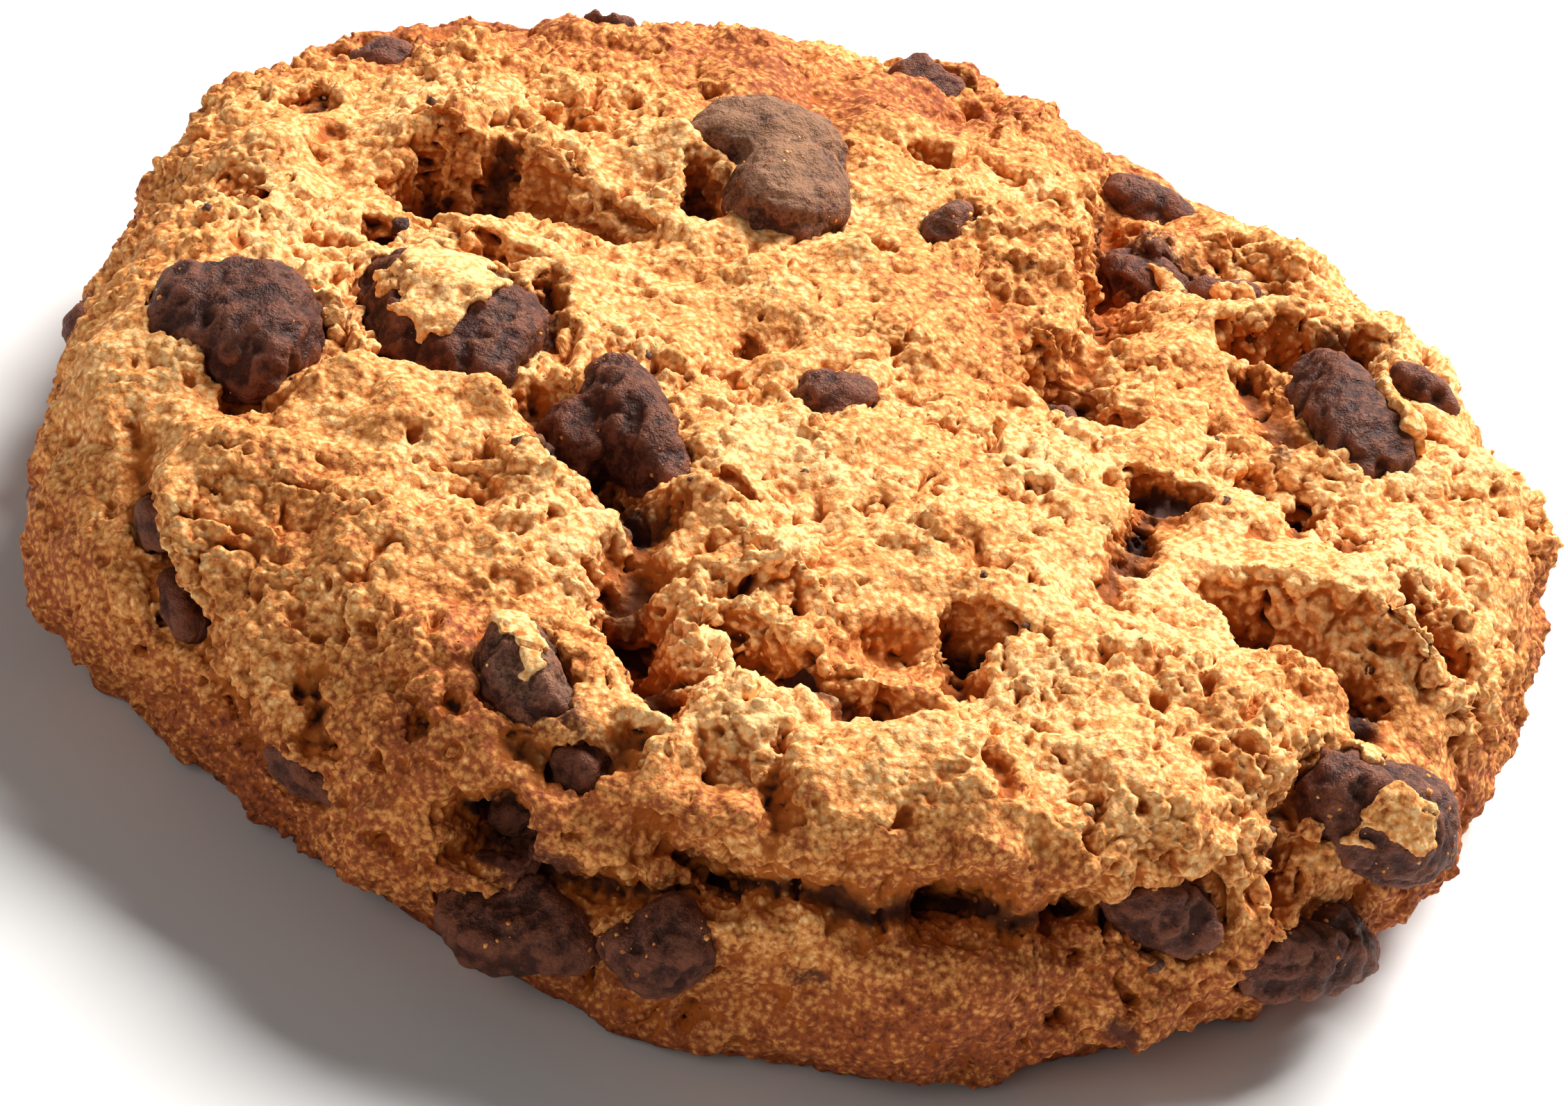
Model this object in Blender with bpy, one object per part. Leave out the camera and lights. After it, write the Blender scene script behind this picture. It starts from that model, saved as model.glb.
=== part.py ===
"""A baked chocolate chip cookie, 80 mm across: one dough body with its chocolate chunks set in pockets.

Sizes are in millimetres until a mesh is made, which is in metres. The dough starts as a turned pill
whose outline is slightly uneven. Its relief is laid out on the unrolled crust: on top a place (x, y) is
the true x and y, and past the shoulder the distance from the middle goes on as length down the side.
"""
import itertools
import math
from dataclasses import dataclass

import bmesh
import bpy
import numpy as np
from mathutils import Matrix

MM = 0.001

# The pill that the relief is laid on.
RADIUS = 40.0
SHOULDER = 9.5
FOOT = 5.0
WAIST = 6.5
RIM_HEIGHT = 16.0
DOME = 1.5
OUTLINE_WAVES = ((2, 0.5, 130.0), (3, 0.6, 26.0), (4, 0.6, 25.0), (5, 0.5, 5.0), (6, 0.7, 24.0))

# How finely the dough is meshed, and how many triangles it keeps.
DOUGH_VOXEL = 0.7
SCULPTED_VOXEL = 0.55
DOUGH_FACES = 7000
BASE_BAND = 0.6
FLAT_BELOW = 0.35

# Gap that a chunk keeps to its pocket.
POCKET_GAP = 0.38

# How a chunk is cut and meshed: flat facets at these shares of its radius, the share of its half
# thickness that it sinks by, and a finer mesh with fewer triangles for chips below a size.
FACET_REACH = (0.62, 0.86)
CHUNK_SINK = 0.55
CHUNK_VOXEL = 0.6
CHUNK_FACES = 104
CHIP_SIZE = 3.0
CHIP_VOXEL = 0.4
CHIP_FACES = 60

# Edges sharper than this many degrees stay creases, and a place's axes are taken over this step.
CREASE_ANGLE = 40.0
FRAME_STEP = 0.05

# Unevenness of the crust: how far places are shifted, and the height and length of the low lumps.
SHIFT = 0.6
SHIFT_SIZE = 3.4
LUMPS = ((0.9, 7.5), (0.9, 3.9), (0.5, 2.2))
RELIEF_SEED = 11


@dataclass(frozen=True)
class Swell:
    """A soft raised area, or a sunk one where its height is negative."""

    x: float
    y: float
    long: float
    wide: float
    turn: float
    height: float

    def relief(self, u, v):
        """Height at places on the unrolled crust."""
        along, across = turned(u - self.x, v - self.y, self.turn)
        return self.height * np.exp(-((along / self.long) ** 2 + (across / self.wide) ** 2))


@dataclass(frozen=True)
class Pit:
    """A hollow with a broad floor and steep walls."""

    x: float
    y: float
    long: float
    wide: float
    turn: float
    depth: float

    def relief(self, u, v):
        """Height at places on the unrolled crust."""
        along, across = turned(u - self.x, v - self.y, self.turn)
        out = np.sqrt((along / self.long) ** 2 + (across / self.wide) ** 2)
        return -self.depth * smooth_step(1.15 - out, 0.0, 0.45)


@dataclass(frozen=True)
class Cleft:
    """A crack that runs along a line and closes towards its ends."""

    points: tuple
    width: float
    depth: float

    def relief(self, u, v):
        """Height at places on the unrolled crust."""
        distance, _, place = line_distance(self.points, u, v)
        ends = np.clip(4.0 * np.minimum(place, 1.0 - place) + 0.35, 0.0, 1.0)
        return -self.depth * ends * np.exp(-((distance / (self.width * ends + 0.01)) ** 2))


@dataclass(frozen=True)
class Lip:
    """A broken edge: the ground on the left of the line stands above the ground on its right."""

    points: tuple
    rise: float
    reach: float

    def relief(self, u, v):
        """Height at places on the unrolled crust."""
        distance, side, place = line_distance(self.points, u, v)
        ends = np.clip(5.0 * np.minimum(place, 1.0 - place), 0.0, 1.0)
        fade = np.exp(-((distance / self.reach) ** 2))
        level = np.tanh(side * distance / 0.7)
        return self.rise * ends * fade * (0.4 * level + 0.1 * (level - 1.0))


@dataclass(frozen=True)
class Lump:
    """One rounded lobe of a chunk, in the plane of the crust, with its half sizes."""

    x: float
    y: float
    long: float
    wide: float
    turn: float = 0.0
    lift: float = 0.0


@dataclass(frozen=True)
class Chunk:
    """A chocolate chunk: its lumps, their half thickness, and how far it stands proud of the crust."""

    name: str
    lumps: tuple
    thick: float
    proud: float
    facets: int = 7


SWELLS = (
    Swell(-18.0, -19.5, 10.5, 9.0, -20.0, 1.7),
    Swell(4.0, -13.5, 9.5, 9.0, 0.0, 1.1),
    Swell(12.0, -31.5, 14.0, 4.6, 6.0, 2.0),
    Swell(22.5, -19.0, 7.0, 6.5, 30.0, 1.3),
    Swell(36.0, -3.0, 5.0, 9.0, 0.0, 1.0),
    Swell(-9.0, 23.0, 17.0, 9.0, 8.0, 1.0),
    Swell(6.0, 11.5, 5.0, 8.0, 0.0, 1.4),
    Swell(-36.0, -12.0, 6.0, 10.0, -10.0, 0.8),
    Swell(-16.0, -37.0, 9.0, 5.0, -18.0, 0.9),
    Swell(-9.8, 14.0, 1.9, 2.1, 0.0, 1.2),
    Swell(-5.0, -16.8, 2.5, 1.2, 20.0, 1.4),
    Swell(-18.0, 8.0, 9.5, 3.4, 10.0, -1.2),
    Swell(12.0, -46.0, 22.0, 5.0, 4.0, -1.0),
    Swell(-4.0, -49.0, 12.0, 4.0, -4.0, -2.2),
    Swell(17.5, 20.0, 5.2, 5.4, 20.0, -2.2),
    Swell(27.0, 12.5, 4.5, 4.0, -40.0, -1.2),
    Swell(26.0, 24.0, 9.0, 4.5, -38.0, 1.0),
    Swell(-27.0, 22.5, 12.0, 5.0, 48.0, -1.5),
    Swell(0.0, 33.0, 13.0, 5.0, 0.0, -0.9),
    Swell(14.6, 29.5, 3.8, 3.6, -20.0, -1.4),
    Swell(36.5, 14.0, 3.6, 2.6, 20.0, -1.0),
    Swell(-43.0, -6.0, 4.0, 8.0, 0.0, -1.0),
    Swell(-31.0, -38.5, 14.0, 4.5, -38.0, -1.1),
    Swell(36.5, -39.0, 5.0, 5.0, 0.0, -0.8),
)

PITS = (
    Pit(-21.2, 8.2, 3.2, 2.3, 22.0, 4.6),
    Pit(-14.0, 8.2, 2.2, 1.6, 5.0, 4.0),
    Pit(-17.2, 8.8, 1.8, 1.8, 0.0, 2.4),
    Pit(-19.2, 11.4, 0.8, 1.6, 0.0, 2.8),
    Pit(-30.4, 16.0, 0.9, 1.5, 0.0, 2.4),
    Pit(-28.4, 11.3, 0.9, 1.0, 0.0, 1.5),
    Pit(-23.0, 12.6, 0.8, 0.9, 0.0, 1.6),
    Pit(-23.9, 2.8, 0.9, 1.3, 25.0, 2.2),
    Pit(-31.0, 3.4, 0.8, 0.9, 30.0, 1.6),
    Pit(-32.2, 5.2, 1.2, 0.8, 0.0, 1.3),
    Pit(-14.6, -1.9, 1.0, 3.0, 8.0, 2.8),
    Pit(-17.9, 1.9, 1.9, 0.8, 5.0, 1.8),
    Pit(-8.2, 11.8, 1.1, 2.3, 0.0, 2.6),
    Pit(-4.1, -0.2, 0.7, 0.8, 0.0, 1.2),
    Pit(3.0, 21.4, 1.3, 0.9, 30.0, 1.3),
    Pit(0.8, 10.0, 1.2, 0.8, -20.0, 1.1),
    Pit(-3.7, -15.0, 1.7, 0.8, 10.0, 2.0),
    Pit(18.5, -3.1, 1.9, 1.1, 15.0, 3.4),
    Pit(17.5, -7.2, 0.9, 1.8, 0.0, 3.8),
    Pit(23.4, -5.6, 0.9, 0.7, 0.0, 1.4),
    Pit(28.2, -3.4, 1.0, 0.8, 0.0, 1.8),
    Pit(14.6, 2.2, 1.5, 0.8, 10.0, 2.6),
    Pit(12.9, 4.0, 1.5, 2.2, 10.0, 2.6),
    Pit(10.9, -20.0, 1.8, 1.1, 16.0, 4.2),
    Pit(2.2, -27.2, 1.7, 1.0, -18.0, 4.2),
    Pit(-11.0, -39.9, 2.3, 2.0, -20.0, 4.6),
    Pit(-14.9, -35.0, 0.55, 0.6, 0.0, 1.8),
    Pit(-13.6, -34.4, 0.5, 0.55, 0.0, 1.8),
    Pit(-27.4, -14.4, 1.7, 0.9, -20.0, 2.4),
)

CLEFTS = (
    Cleft(((-14.5, -9.0), (-10.5, -14.5), (-7.2, -18.0), (-6.4, -20.5)), 2.2, 3.8),
    Cleft(((-6.6, -19.0), (-6.6, -22.8), (-6.2, -26.0), (-4.4, -29.5), (-3.8, -32.6)), 1.4, 2.9),
    Cleft(((-1.5, -24.6), (1.5, -27.4), (6.0, -28.2), (10.2, -27.8)), 1.0, 2.8),
    Cleft(((10.4, -19.5), (10.2, -22.0), (10.6, -25.4)), 0.7, 2.0),
    Cleft(((12.2, -30.6), (13.5, -33.6)), 0.7, 1.6),
    Cleft(((2.4, -33.6), (3.4, -36.8), (3.0, -39.6)), 0.7, 1.8),
    Cleft(((-2.4, -39.6), (1.8, -41.0), (5.6, -40.0), (9.0, -40.2), (12.6, -37.8), (16.0, -38.2),
           (18.8, -36.2), (22.0, -35.4)), 1.1, 3.2),
    Cleft(((21.6, -11.2), (25.5, -12.4), (29.5, -13.6), (31.9, -16.0), (31.7, -18.8)), 1.4, 3.6),
    Cleft(((19.0, -2.0), (17.6, -5.5), (17.5, -9.0), (16.6, -12.0), (17.2, -15.4)), 1.2, 2.6),
    Cleft(((19.6, 12.2), (24.0, 14.2), (28.6, 16.4)), 1.4, 3.4),
    Cleft(((21.0, 11.0), (22.6, 7.4), (25.6, 3.6)), 1.2, 2.6),
    Cleft(((25.8, 1.2), (26.0, -1.6), (25.4, -4.2)), 0.9, 2.4),
    Cleft(((30.6, -6.8), (33.0, -8.0), (35.6, -10.0)), 1.1, 2.2),
    Cleft(((-33.6, -16.4), (-32.3, -21.0), (-29.0, -28.9), (-25.6, -34.0), (-21.4, -38.0)), 1.0, 2.0),
    Cleft(((-22.4, -31.4), (-20.8, -34.0), (-20.0, -36.4)), 0.9, 2.2),
    Cleft(((-23.4, -0.6), (-22.9, -5.0), (-20.4, -9.6), (-16.4, -11.0)), 1.1, 3.2),
    Cleft(((-11.5, -35.6), (-7.0, -36.6), (-4.0, -34.6)), 1.1, 2.6),
    Cleft(((-10.5, -42.4), (-5.0, -43.0), (0.6, -42.2)), 1.0, 2.6),
    Cleft(((29.2, -20.0), (28.4, -25.0), (30.4, -30.0)), 1.2, 2.4),
    Cleft(((13.4, 27.0), (13.6, 21.0), (13.5, 15.5), (13.4, 9.0)), 1.1, 1.8),
    Cleft(((-34.5, 20.5), (-28.0, 27.0), (-19.0, 33.0)), 1.0, 1.6),
    Cleft(((22.0, 37.0), (12.0, 42.0), (2.0, 40.0)), 1.0, 1.8),
    Cleft(((44.0, 6.0), (40.0, 20.0), (32.0, 33.0)), 1.0, 1.8),
    Cleft(((-42.0, 12.0), (-38.0, 24.0), (-30.0, 33.0)), 1.0, 1.7),
)

LIPS = (
    Lip(((-4.8, -32.3), (-5.3, -29.3), (-7.8, -26.0), (-8.3, -22.7), (-7.4, -19.0), (-9.8, -15.4),
         (-12.4, -12.8), (-16.0, -10.9), (-19.8, -10.7), (-23.1, -11.0), (-25.4, -13.0),
         (-29.0, -16.9)), 2.4, 4.5),
    Lip(((-3.2, -11.5), (-4.8, -16.0), (-5.6, -20.0), (-5.0, -25.2), (-3.4, -29.4)), 1.8, 4.0),
    Lip(((-2.6, -22.6), (2.0, -21.4), (5.0, -22.0), (9.6, -20.6)), 1.6, 3.0),
    Lip(((-2.8, -24.6), (1.0, -25.2), (5.0, -26.8), (10.2, -26.6)), 1.8, 2.6),
    Lip(((20.0, -10.2), (25.0, -9.5), (30.5, -10.2), (34.0, -12.0), (35.4, -15.0), (34.2, -18.4)), 1.7, 3.0),
    Lip(((8.4, 7.6), (9.4, 4.9), (11.3, 5.3), (12.1, 9.0), (12.1, 13.0), (12.2, 17.0), (12.4, 22.0),
         (12.6, 28.0)), 2.8, 4.4),
    Lip(((28.6, 17.2), (24.0, 15.2), (19.8, 13.2), (18.0, 12.0)), -2.2, 3.0),
    Lip(((-26.0, 8.0), (-24.4, 9.6), (-22.0, 10.9), (-19.6, 11.3), (-16.8, 11.0), (-13.6, 10.2),
         (-11.4, 9.2), (-9.9, 7.7), (-9.0, 5.2)), 2.4, 3.2),
    Lip(((-33.6, -16.8), (-32.3, -21.0), (-30.0, -25.0), (-28.6, -29.0), (-25.6, -33.0),
         (-21.8, -37.6)), 2.0, 4.0),
    Lip(((-8.0, -37.2), (-1.7, -38.8), (3.5, -39.3), (7.9, -38.0), (13.2, -36.6), (17.2, -35.5),
         (21.4, -33.4), (24.7, -30.4), (27.4, -26.6)), 2.8, 3.8),
)

CHUNKS = (
    Chunk("chunk_left_heart", (Lump(-28.2, -9.2, 5.2, 3.7, -66.0), Lump(-31.6, -8.4, 3.4, 2.7, -80.0, -0.3)),
          3.2, 0.9),
    Chunk("chunk_dough_capped", (Lump(-18.7, -4.9, 7.0, 4.9, -56.0),), 3.4, 1.3),
    Chunk("chunk_canyon", (Lump(-8.4, -10.0, 5.2, 2.3, -62.0, 0.6), Lump(-11.4, -11.0, 2.8, 1.6, -58.0, -1.2)),
          2.8, 0.6),
    Chunk("chunk_centre", (Lump(0.3, -4.6, 2.0, 1.8, 20.0), Lump(2.2, -3.8, 1.1, 1.0, 20.0)), 2.0, 0.4),
    Chunk("chunk_far", (Lump(-6.0, 17.8, 5.2, 3.7, 12.0, 0.4), Lump(-4.0, 12.6, 4.6, 3.4, 84.0, 0.5)), 3.0, 0.3),
    Chunk("chip_far_small", (Lump(4.3, 13.4, 2.0, 1.0, 66.0),), 1.4, 0.2),
    Chunk("chunk_right", (Lump(26.5, 8.3, 5.6, 3.0, -64.0, 0.2), Lump(28.8, 7.2, 3.4, 2.0, -60.0)), 3.2, 0.8),
    Chunk("shard_right", (Lump(30.8, 13.1, 2.3, 1.3, -20.0),), 1.1, 0.6, 4),
    Chunk("chip_crevice", (Lump(12.8, 3.8, 2.6, 1.4, -64.0),), 1.8, 0.5),
    Chunk("chunk_hollow_left", (Lump(15.7, 21.4, 2.9, 2.2, -30.0),), 1.9, 0.1),
    Chunk("chunk_hollow_right", (Lump(20.1, 19.2, 2.3, 1.7, 20.0),), 1.7, 0.1),
    Chunk("chunk_far_edge_right", (Lump(15.8, 30.6, 3.4, 1.8, 6.0),), 2.0, 0.2),
    Chunk("chunk_far_edge", (Lump(1.9, 36.0, 2.6, 1.8, 0.0),), 1.9, 0.5),
    Chunk("chip_far_edge_left", (Lump(-28.2, 25.2, 1.9, 1.2, 30.0),), 1.3, 0.4),
    Chunk("chip_far_edge_middle", (Lump(-16.4, 31.6, 1.9, 1.2, 10.0),), 1.3, 0.2),
    Chunk("chunk_front_dusted", (Lump(-10.3, -31.8, 4.2, 2.3, -62.0),), 2.4, 0.6),
    Chunk("chip_front", (Lump(-6.6, -36.2, 2.0, 1.4, -24.0),), 1.6, 0.1),
    Chunk("chip_front_hollow", (Lump(-10.8, -40.2, 1.9, 1.3, -10.0),), 1.5, 0.0),
    Chunk("chunk_bottom_left", (Lump(-9.3, -46.0, 4.3, 2.7, -14.0, 0.2), Lump(-12.5, -45.2, 2.1, 1.5, -20.0)),
          3.0, 1.4),
    Chunk("chunk_bottom_middle", (Lump(-1.0, -45.2, 3.0, 2.6, 0.0),), 2.4, 0.6),
    Chunk("chunk_right_capped", (Lump(33.3, -21.0, 5.3, 3.5, 24.0, 0.4),), 3.2, 1.1),
    Chunk("chunk_under_lip", (Lump(23.7, -33.4, 2.6, 2.1, 10.0), Lump(26.2, -33.0, 1.8, 1.9, 10.0)), 2.3, 0.3),
    Chunk("chunk_bottom_right", (Lump(36.4, -29.0, 6.2, 2.8, 48.0, 0.2),), 3.0, 0.9),
    Chunk("chip_fold", (Lump(-22.3, -37.0, 2.5, 1.3, -42.0),), 1.4, 0.2),
    Chunk("chip_left_upper", (Lump(-31.1, -23.2, 2.1, 1.2, -45.0),), 1.3, 0.1),
    Chunk("chip_left_lower", (Lump(-30.8, -27.6, 2.6, 1.1, -62.0),), 1.3, 0.1),
    Chunk("chip_left_edge", (Lump(-42.4, -0.4, 2.2, 1.4, 80.0),), 1.4, 0.2),
    Chunk("chunk_left_side", (Lump(-46.0, -12.8, 2.6, 1.6, -76.0),), 1.6, 0.1),
    Chunk("chunk_back_left", (Lump(-24.5, 36.0, 3.6, 2.4, 30.0),), 2.4, 0.6),
    Chunk("chunk_back_middle", (Lump(-6.0, 43.6, 3.9, 2.6, 4.0),), 2.5, 0.7),
    Chunk("chunk_back_right", (Lump(18.5, 41.0, 3.4, 2.2, -24.0),), 2.2, 0.6),
    Chunk("chunk_right_side", (Lump(37.0, 28.0, 3.2, 2.2, 120.0),), 2.2, 0.5),
)

DOUGH_COLOUR = (0.58, 0.30, 0.11, 1.0)
CHOCOLATE_COLOUR = (0.055, 0.026, 0.018, 1.0)


class Noise:
    """Smooth seeded noise in three dimensions, from -1 to 1."""

    CELLS = 32

    def __init__(self, seed):
        """Draw the lattice's values."""
        self.values = np.random.default_rng(seed).uniform(-1.0, 1.0, (self.CELLS,) * 3)

    def __call__(self, points, size):
        """The noise at points, with lumps about `size` across."""
        cell = np.floor(points / size).astype(int)
        part = points / size - cell
        part = part * part * (3.0 - 2.0 * part)
        total = np.zeros(len(points))
        for corner in itertools.product((0, 1), repeat=3):
            weight = np.prod(np.where(corner, part, 1.0 - part), axis=1)
            total += weight * self.values[tuple(((cell + corner) % self.CELLS).T)]
        return total


def smooth_step(value, low, high):
    """Ease from 0 at low to 1 at high."""
    t = np.clip((value - low) / (high - low), 0.0, 1.0)
    return t * t * (3.0 - 2.0 * t)


def turned(x, y, degrees):
    """Coordinates along and across a direction."""
    cos = math.cos(math.radians(degrees))
    sin = math.sin(math.radians(degrees))
    return x * cos + y * sin, y * cos - x * sin


def line_distance(points, u, v):
    """Distance to a line, the side of it (1 on its left) and the place along it from 0 to 1."""
    best = np.full(u.shape, np.inf)
    side = np.ones(u.shape)
    place = np.zeros(u.shape)
    lengths = [math.dist(a, b) for a, b in itertools.pairwise(points)]
    walked = 0.0
    for (a, b), length in zip(itertools.pairwise(points), lengths):
        dx = (b[0] - a[0]) / length
        dy = (b[1] - a[1]) / length
        along = np.clip((u - a[0]) * dx + (v - a[1]) * dy, 0.0, length)
        distance = np.hypot(u - a[0] - along * dx, v - a[1] - along * dy)
        left = np.where((v - a[1]) * dx - (u - a[0]) * dy >= 0.0, 1.0, -1.0)
        nearer = distance < best
        side = np.where(nearer, left, side)
        place = np.where(nearer, (walked + along) / sum(lengths), place)
        best = np.where(nearer, distance, best)
        walked += length
    return best, side, place


class Pill:
    """The turned base form: its profile from the middle of the top to the middle of the base."""

    def __init__(self):
        """Work out the profile, its length from the top's middle, and its outward directions."""
        flat = RADIUS - SHOULDER
        r = np.linspace(0.0, flat, 60, endpoint=False)
        a = np.linspace(0.0, math.pi / 2, 40, endpoint=False)
        top = np.stack([r, RIM_HEIGHT + DOME * (1.0 - (r / flat) ** 2)], 1)
        height = RIM_HEIGHT - WAIST
        shoulder = np.stack([flat + SHOULDER * np.sin(a), WAIST + height * np.cos(a)], 1)
        foot = np.stack([RADIUS - FOOT + FOOT * np.cos(a), WAIST - WAIST * np.sin(a)], 1)
        under = np.stack([np.linspace(RADIUS - FOOT, 0.0, 40), np.zeros(40)], 1)
        self.profile = np.concatenate([top, shoulder, foot, under])
        steps = np.hypot(*np.diff(self.profile, axis=0).T)
        self.length = np.concatenate([[0.0], np.cumsum(steps)])
        tangent = np.gradient(self.profile, self.length, axis=0)
        tangent /= np.hypot(*tangent.T)[:, None]
        self.outward = np.stack([-tangent[:, 1], tangent[:, 0]], 1)

    @staticmethod
    def reach(angle):
        """The outline's radius at an angle, as a share of RADIUS."""
        share = np.ones_like(angle)
        for waves, height, crest in OUTLINE_WAVES:
            share = share + height / RADIUS * np.cos(waves * (angle - math.radians(crest)))
        return share

    def unroll(self, points):
        """Places on the unrolled crust of points that lie on the pill."""
        angle = np.arctan2(points[:, 1], points[:, 0])
        share = self.reach(angle)
        level = np.stack([np.hypot(points[:, 0], points[:, 1]) / share, points[:, 2]], 1)
        nearest = np.array([np.argmin(((self.profile - q) ** 2).sum(1)) for q in level])
        gone = self.length[nearest] * share
        return gone * np.cos(angle), gone * np.sin(angle)

    def surface(self, u, v):
        """Points and outward normals of the pill at places on the unrolled crust."""
        angle = np.arctan2(v, u)
        share = self.reach(angle)
        gone = np.hypot(u, v) / share
        ring = [np.interp(gone, self.length, column) for column in self.profile.T]
        out = [np.interp(gone, self.length, column) for column in self.outward.T]
        points = np.stack([ring[0] * share * np.cos(angle), ring[0] * share * np.sin(angle), ring[1]], 1)
        normals = np.stack([out[0] * np.cos(angle), out[0] * np.sin(angle), out[1]], 1)
        return points, normals

    def frame(self, u, v):
        """Matrix whose axes run along +u, along +v and out of the crust at a place."""
        at, normal = self.surface(np.array([u, u + FRAME_STEP]), np.array([v, v]))
        out = normal[0] / np.linalg.norm(normal[0])
        along = at[1] - at[0]
        along -= out * np.dot(along, out)
        along /= np.linalg.norm(along)
        matrix = np.eye(4)
        matrix[:3, :3] = np.stack([along, np.cross(out, along), out], 1)
        matrix[:3, 3] = at[0]
        return matrix


def crust_relief(noise, points, u, v):
    """Height of the crust over the pill, in millimetres."""
    shift_u = u + SHIFT * noise(points, SHIFT_SIZE)
    shift_v = v + SHIFT * noise(points + 50.0, SHIFT_SIZE)
    height = np.zeros(len(u))
    for feature in SWELLS + LIPS:
        height += feature.relief(shift_u, shift_v)
    sunk = np.zeros(len(u))
    for feature in CLEFTS + PITS:
        sunk = np.minimum(sunk, feature.relief(shift_u, shift_v))
    for tall, size in LUMPS:
        height += tall * noise(points + 9.0 * size, size)
    return height + sunk


def ground_level(pill, noise, lump):
    """Mean height of the crust under a lump."""
    ring = np.linspace(0.0, math.tau, 12, endpoint=False)
    along = np.concatenate([[0.0], 0.4 * np.cos(ring), 0.75 * np.cos(ring)]) * lump.long
    across = np.concatenate([[0.0], 0.4 * np.sin(ring), 0.75 * np.sin(ring)]) * lump.wide
    x, y = turned(along, across, -lump.turn)
    points, _ = pill.surface(lump.x + x, lump.y + y)
    return float(crust_relief(noise, points, lump.x + x, lump.y + y).mean())


def get_points(mesh):
    """The mesh's vertices in millimetres."""
    flat = np.empty(len(mesh.vertices) * 3)
    mesh.vertices.foreach_get("co", flat)
    return flat.reshape(-1, 3) / MM


def set_points(mesh, points):
    """Move the mesh's vertices to places in millimetres."""
    mesh.vertices.foreach_set("co", (points * MM).ravel())
    mesh.update()


def add_object(name, mesh, material=None):
    """Put a mesh in the scene under a name."""
    obj = bpy.data.objects.new(name, mesh)
    bpy.context.scene.collection.objects.link(obj)
    if material:
        mesh.materials.append(material)
    return obj


def apply_modifiers(obj):
    """Replace the object's mesh by its evaluated one, and clear its modifiers."""
    graph = bpy.context.evaluated_depsgraph_get()
    graph.update()
    mesh = bpy.data.meshes.new_from_object(obj.evaluated_get(graph))
    obj.modifiers.clear()
    obj.data = mesh
    return obj


def remesh(obj, size):
    """Rebuild the object as one even skin."""
    modifier = obj.modifiers.new("even_skin", "REMESH")
    modifier.mode = "VOXEL"
    modifier.voxel_size = size * MM
    return apply_modifiers(obj)


def thin_out(obj, faces):
    """Bring the object down to about this many triangles."""
    triangulate(obj)
    modifier = obj.modifiers.new("fewer_faces", "DECIMATE")
    modifier.ratio = min(1.0, faces / len(obj.data.polygons))
    return apply_modifiers(obj)


def triangulate(obj):
    """Split all faces into triangles."""
    mesh = bmesh.new()
    mesh.from_mesh(obj.data)
    bmesh.ops.triangulate(mesh, faces=mesh.faces)
    mesh.to_mesh(obj.data)
    mesh.free()


def keep_largest_body(obj):
    """Delete loose scraps, so that one body is left."""
    mesh = bmesh.new()
    mesh.from_mesh(obj.data)
    left = set(mesh.verts)
    bodies = []
    while left:
        stack = [left.pop()]
        body = set(stack)
        while stack:
            for edge in stack.pop().link_edges:
                for vert in edge.verts:
                    if vert not in body:
                        body.add(vert)
                        stack.append(vert)
        left -= body
        bodies.append(body)
    keep = max(bodies, key=len)
    bmesh.ops.delete(mesh, geom=[v for v in mesh.verts if v not in keep], context="VERTS")
    mesh.to_mesh(obj.data)
    mesh.free()


def make_material(name, colour, roughness):
    """A plain finish with a colour and a roughness."""
    material = bpy.data.materials.new(name)
    material.use_nodes = True
    shader = material.node_tree.nodes["Principled BSDF"]
    shader.inputs["Base Color"].default_value = colour
    shader.inputs["Roughness"].default_value = roughness
    shader.inputs["Metallic"].default_value = 0.0
    material.diffuse_color = colour
    return material


def spin_pill(pill):
    """The turned pill as a mesh, with its uneven outline."""
    mesh = bmesh.new()
    ring = [mesh.verts.new((r * MM, 0.0, z * MM)) for r, z in pill.profile[::2]]
    ring.append(mesh.verts.new((0.0, 0.0, 0.0)))
    edges = [mesh.edges.new(pair) for pair in itertools.pairwise(ring)]
    bmesh.ops.spin(mesh, geom=ring + edges, axis=(0, 0, 1), cent=(0, 0, 0), steps=120, angle=math.tau)
    bmesh.ops.remove_doubles(mesh, verts=mesh.verts, dist=0.01 * MM)
    bmesh.ops.recalc_face_normals(mesh, faces=mesh.faces)
    for vert in mesh.verts:
        share = float(pill.reach(np.array([math.atan2(vert.co.y, vert.co.x)]))[0])
        vert.co.x *= share
        vert.co.y *= share
    result = bpy.data.meshes.new("dough")
    mesh.to_mesh(result)
    mesh.free()
    return result


def build_dough(pill, noise, material):
    """The dough body without its pockets."""
    dough = remesh(add_object("dough", spin_pill(pill)), DOUGH_VOXEL)
    points = get_points(dough.data)
    u, v = pill.unroll(points)
    base, normals = pill.surface(u, v)
    height = crust_relief(noise, base, u, v)
    height *= smooth_step(base[:, 2], 0.0, BASE_BAND)
    points = base + normals * height[:, None]
    points[:, 2] = np.maximum(points[:, 2], 0.0)
    set_points(dough.data, points)
    remesh(dough, SCULPTED_VOXEL)
    thin_out(dough, DOUGH_FACES)
    points = get_points(dough.data)
    points[points[:, 2] < FLAT_BELOW, 2] = 0.0
    set_points(dough.data, points)
    dough.data.materials.append(material)
    return dough


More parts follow.
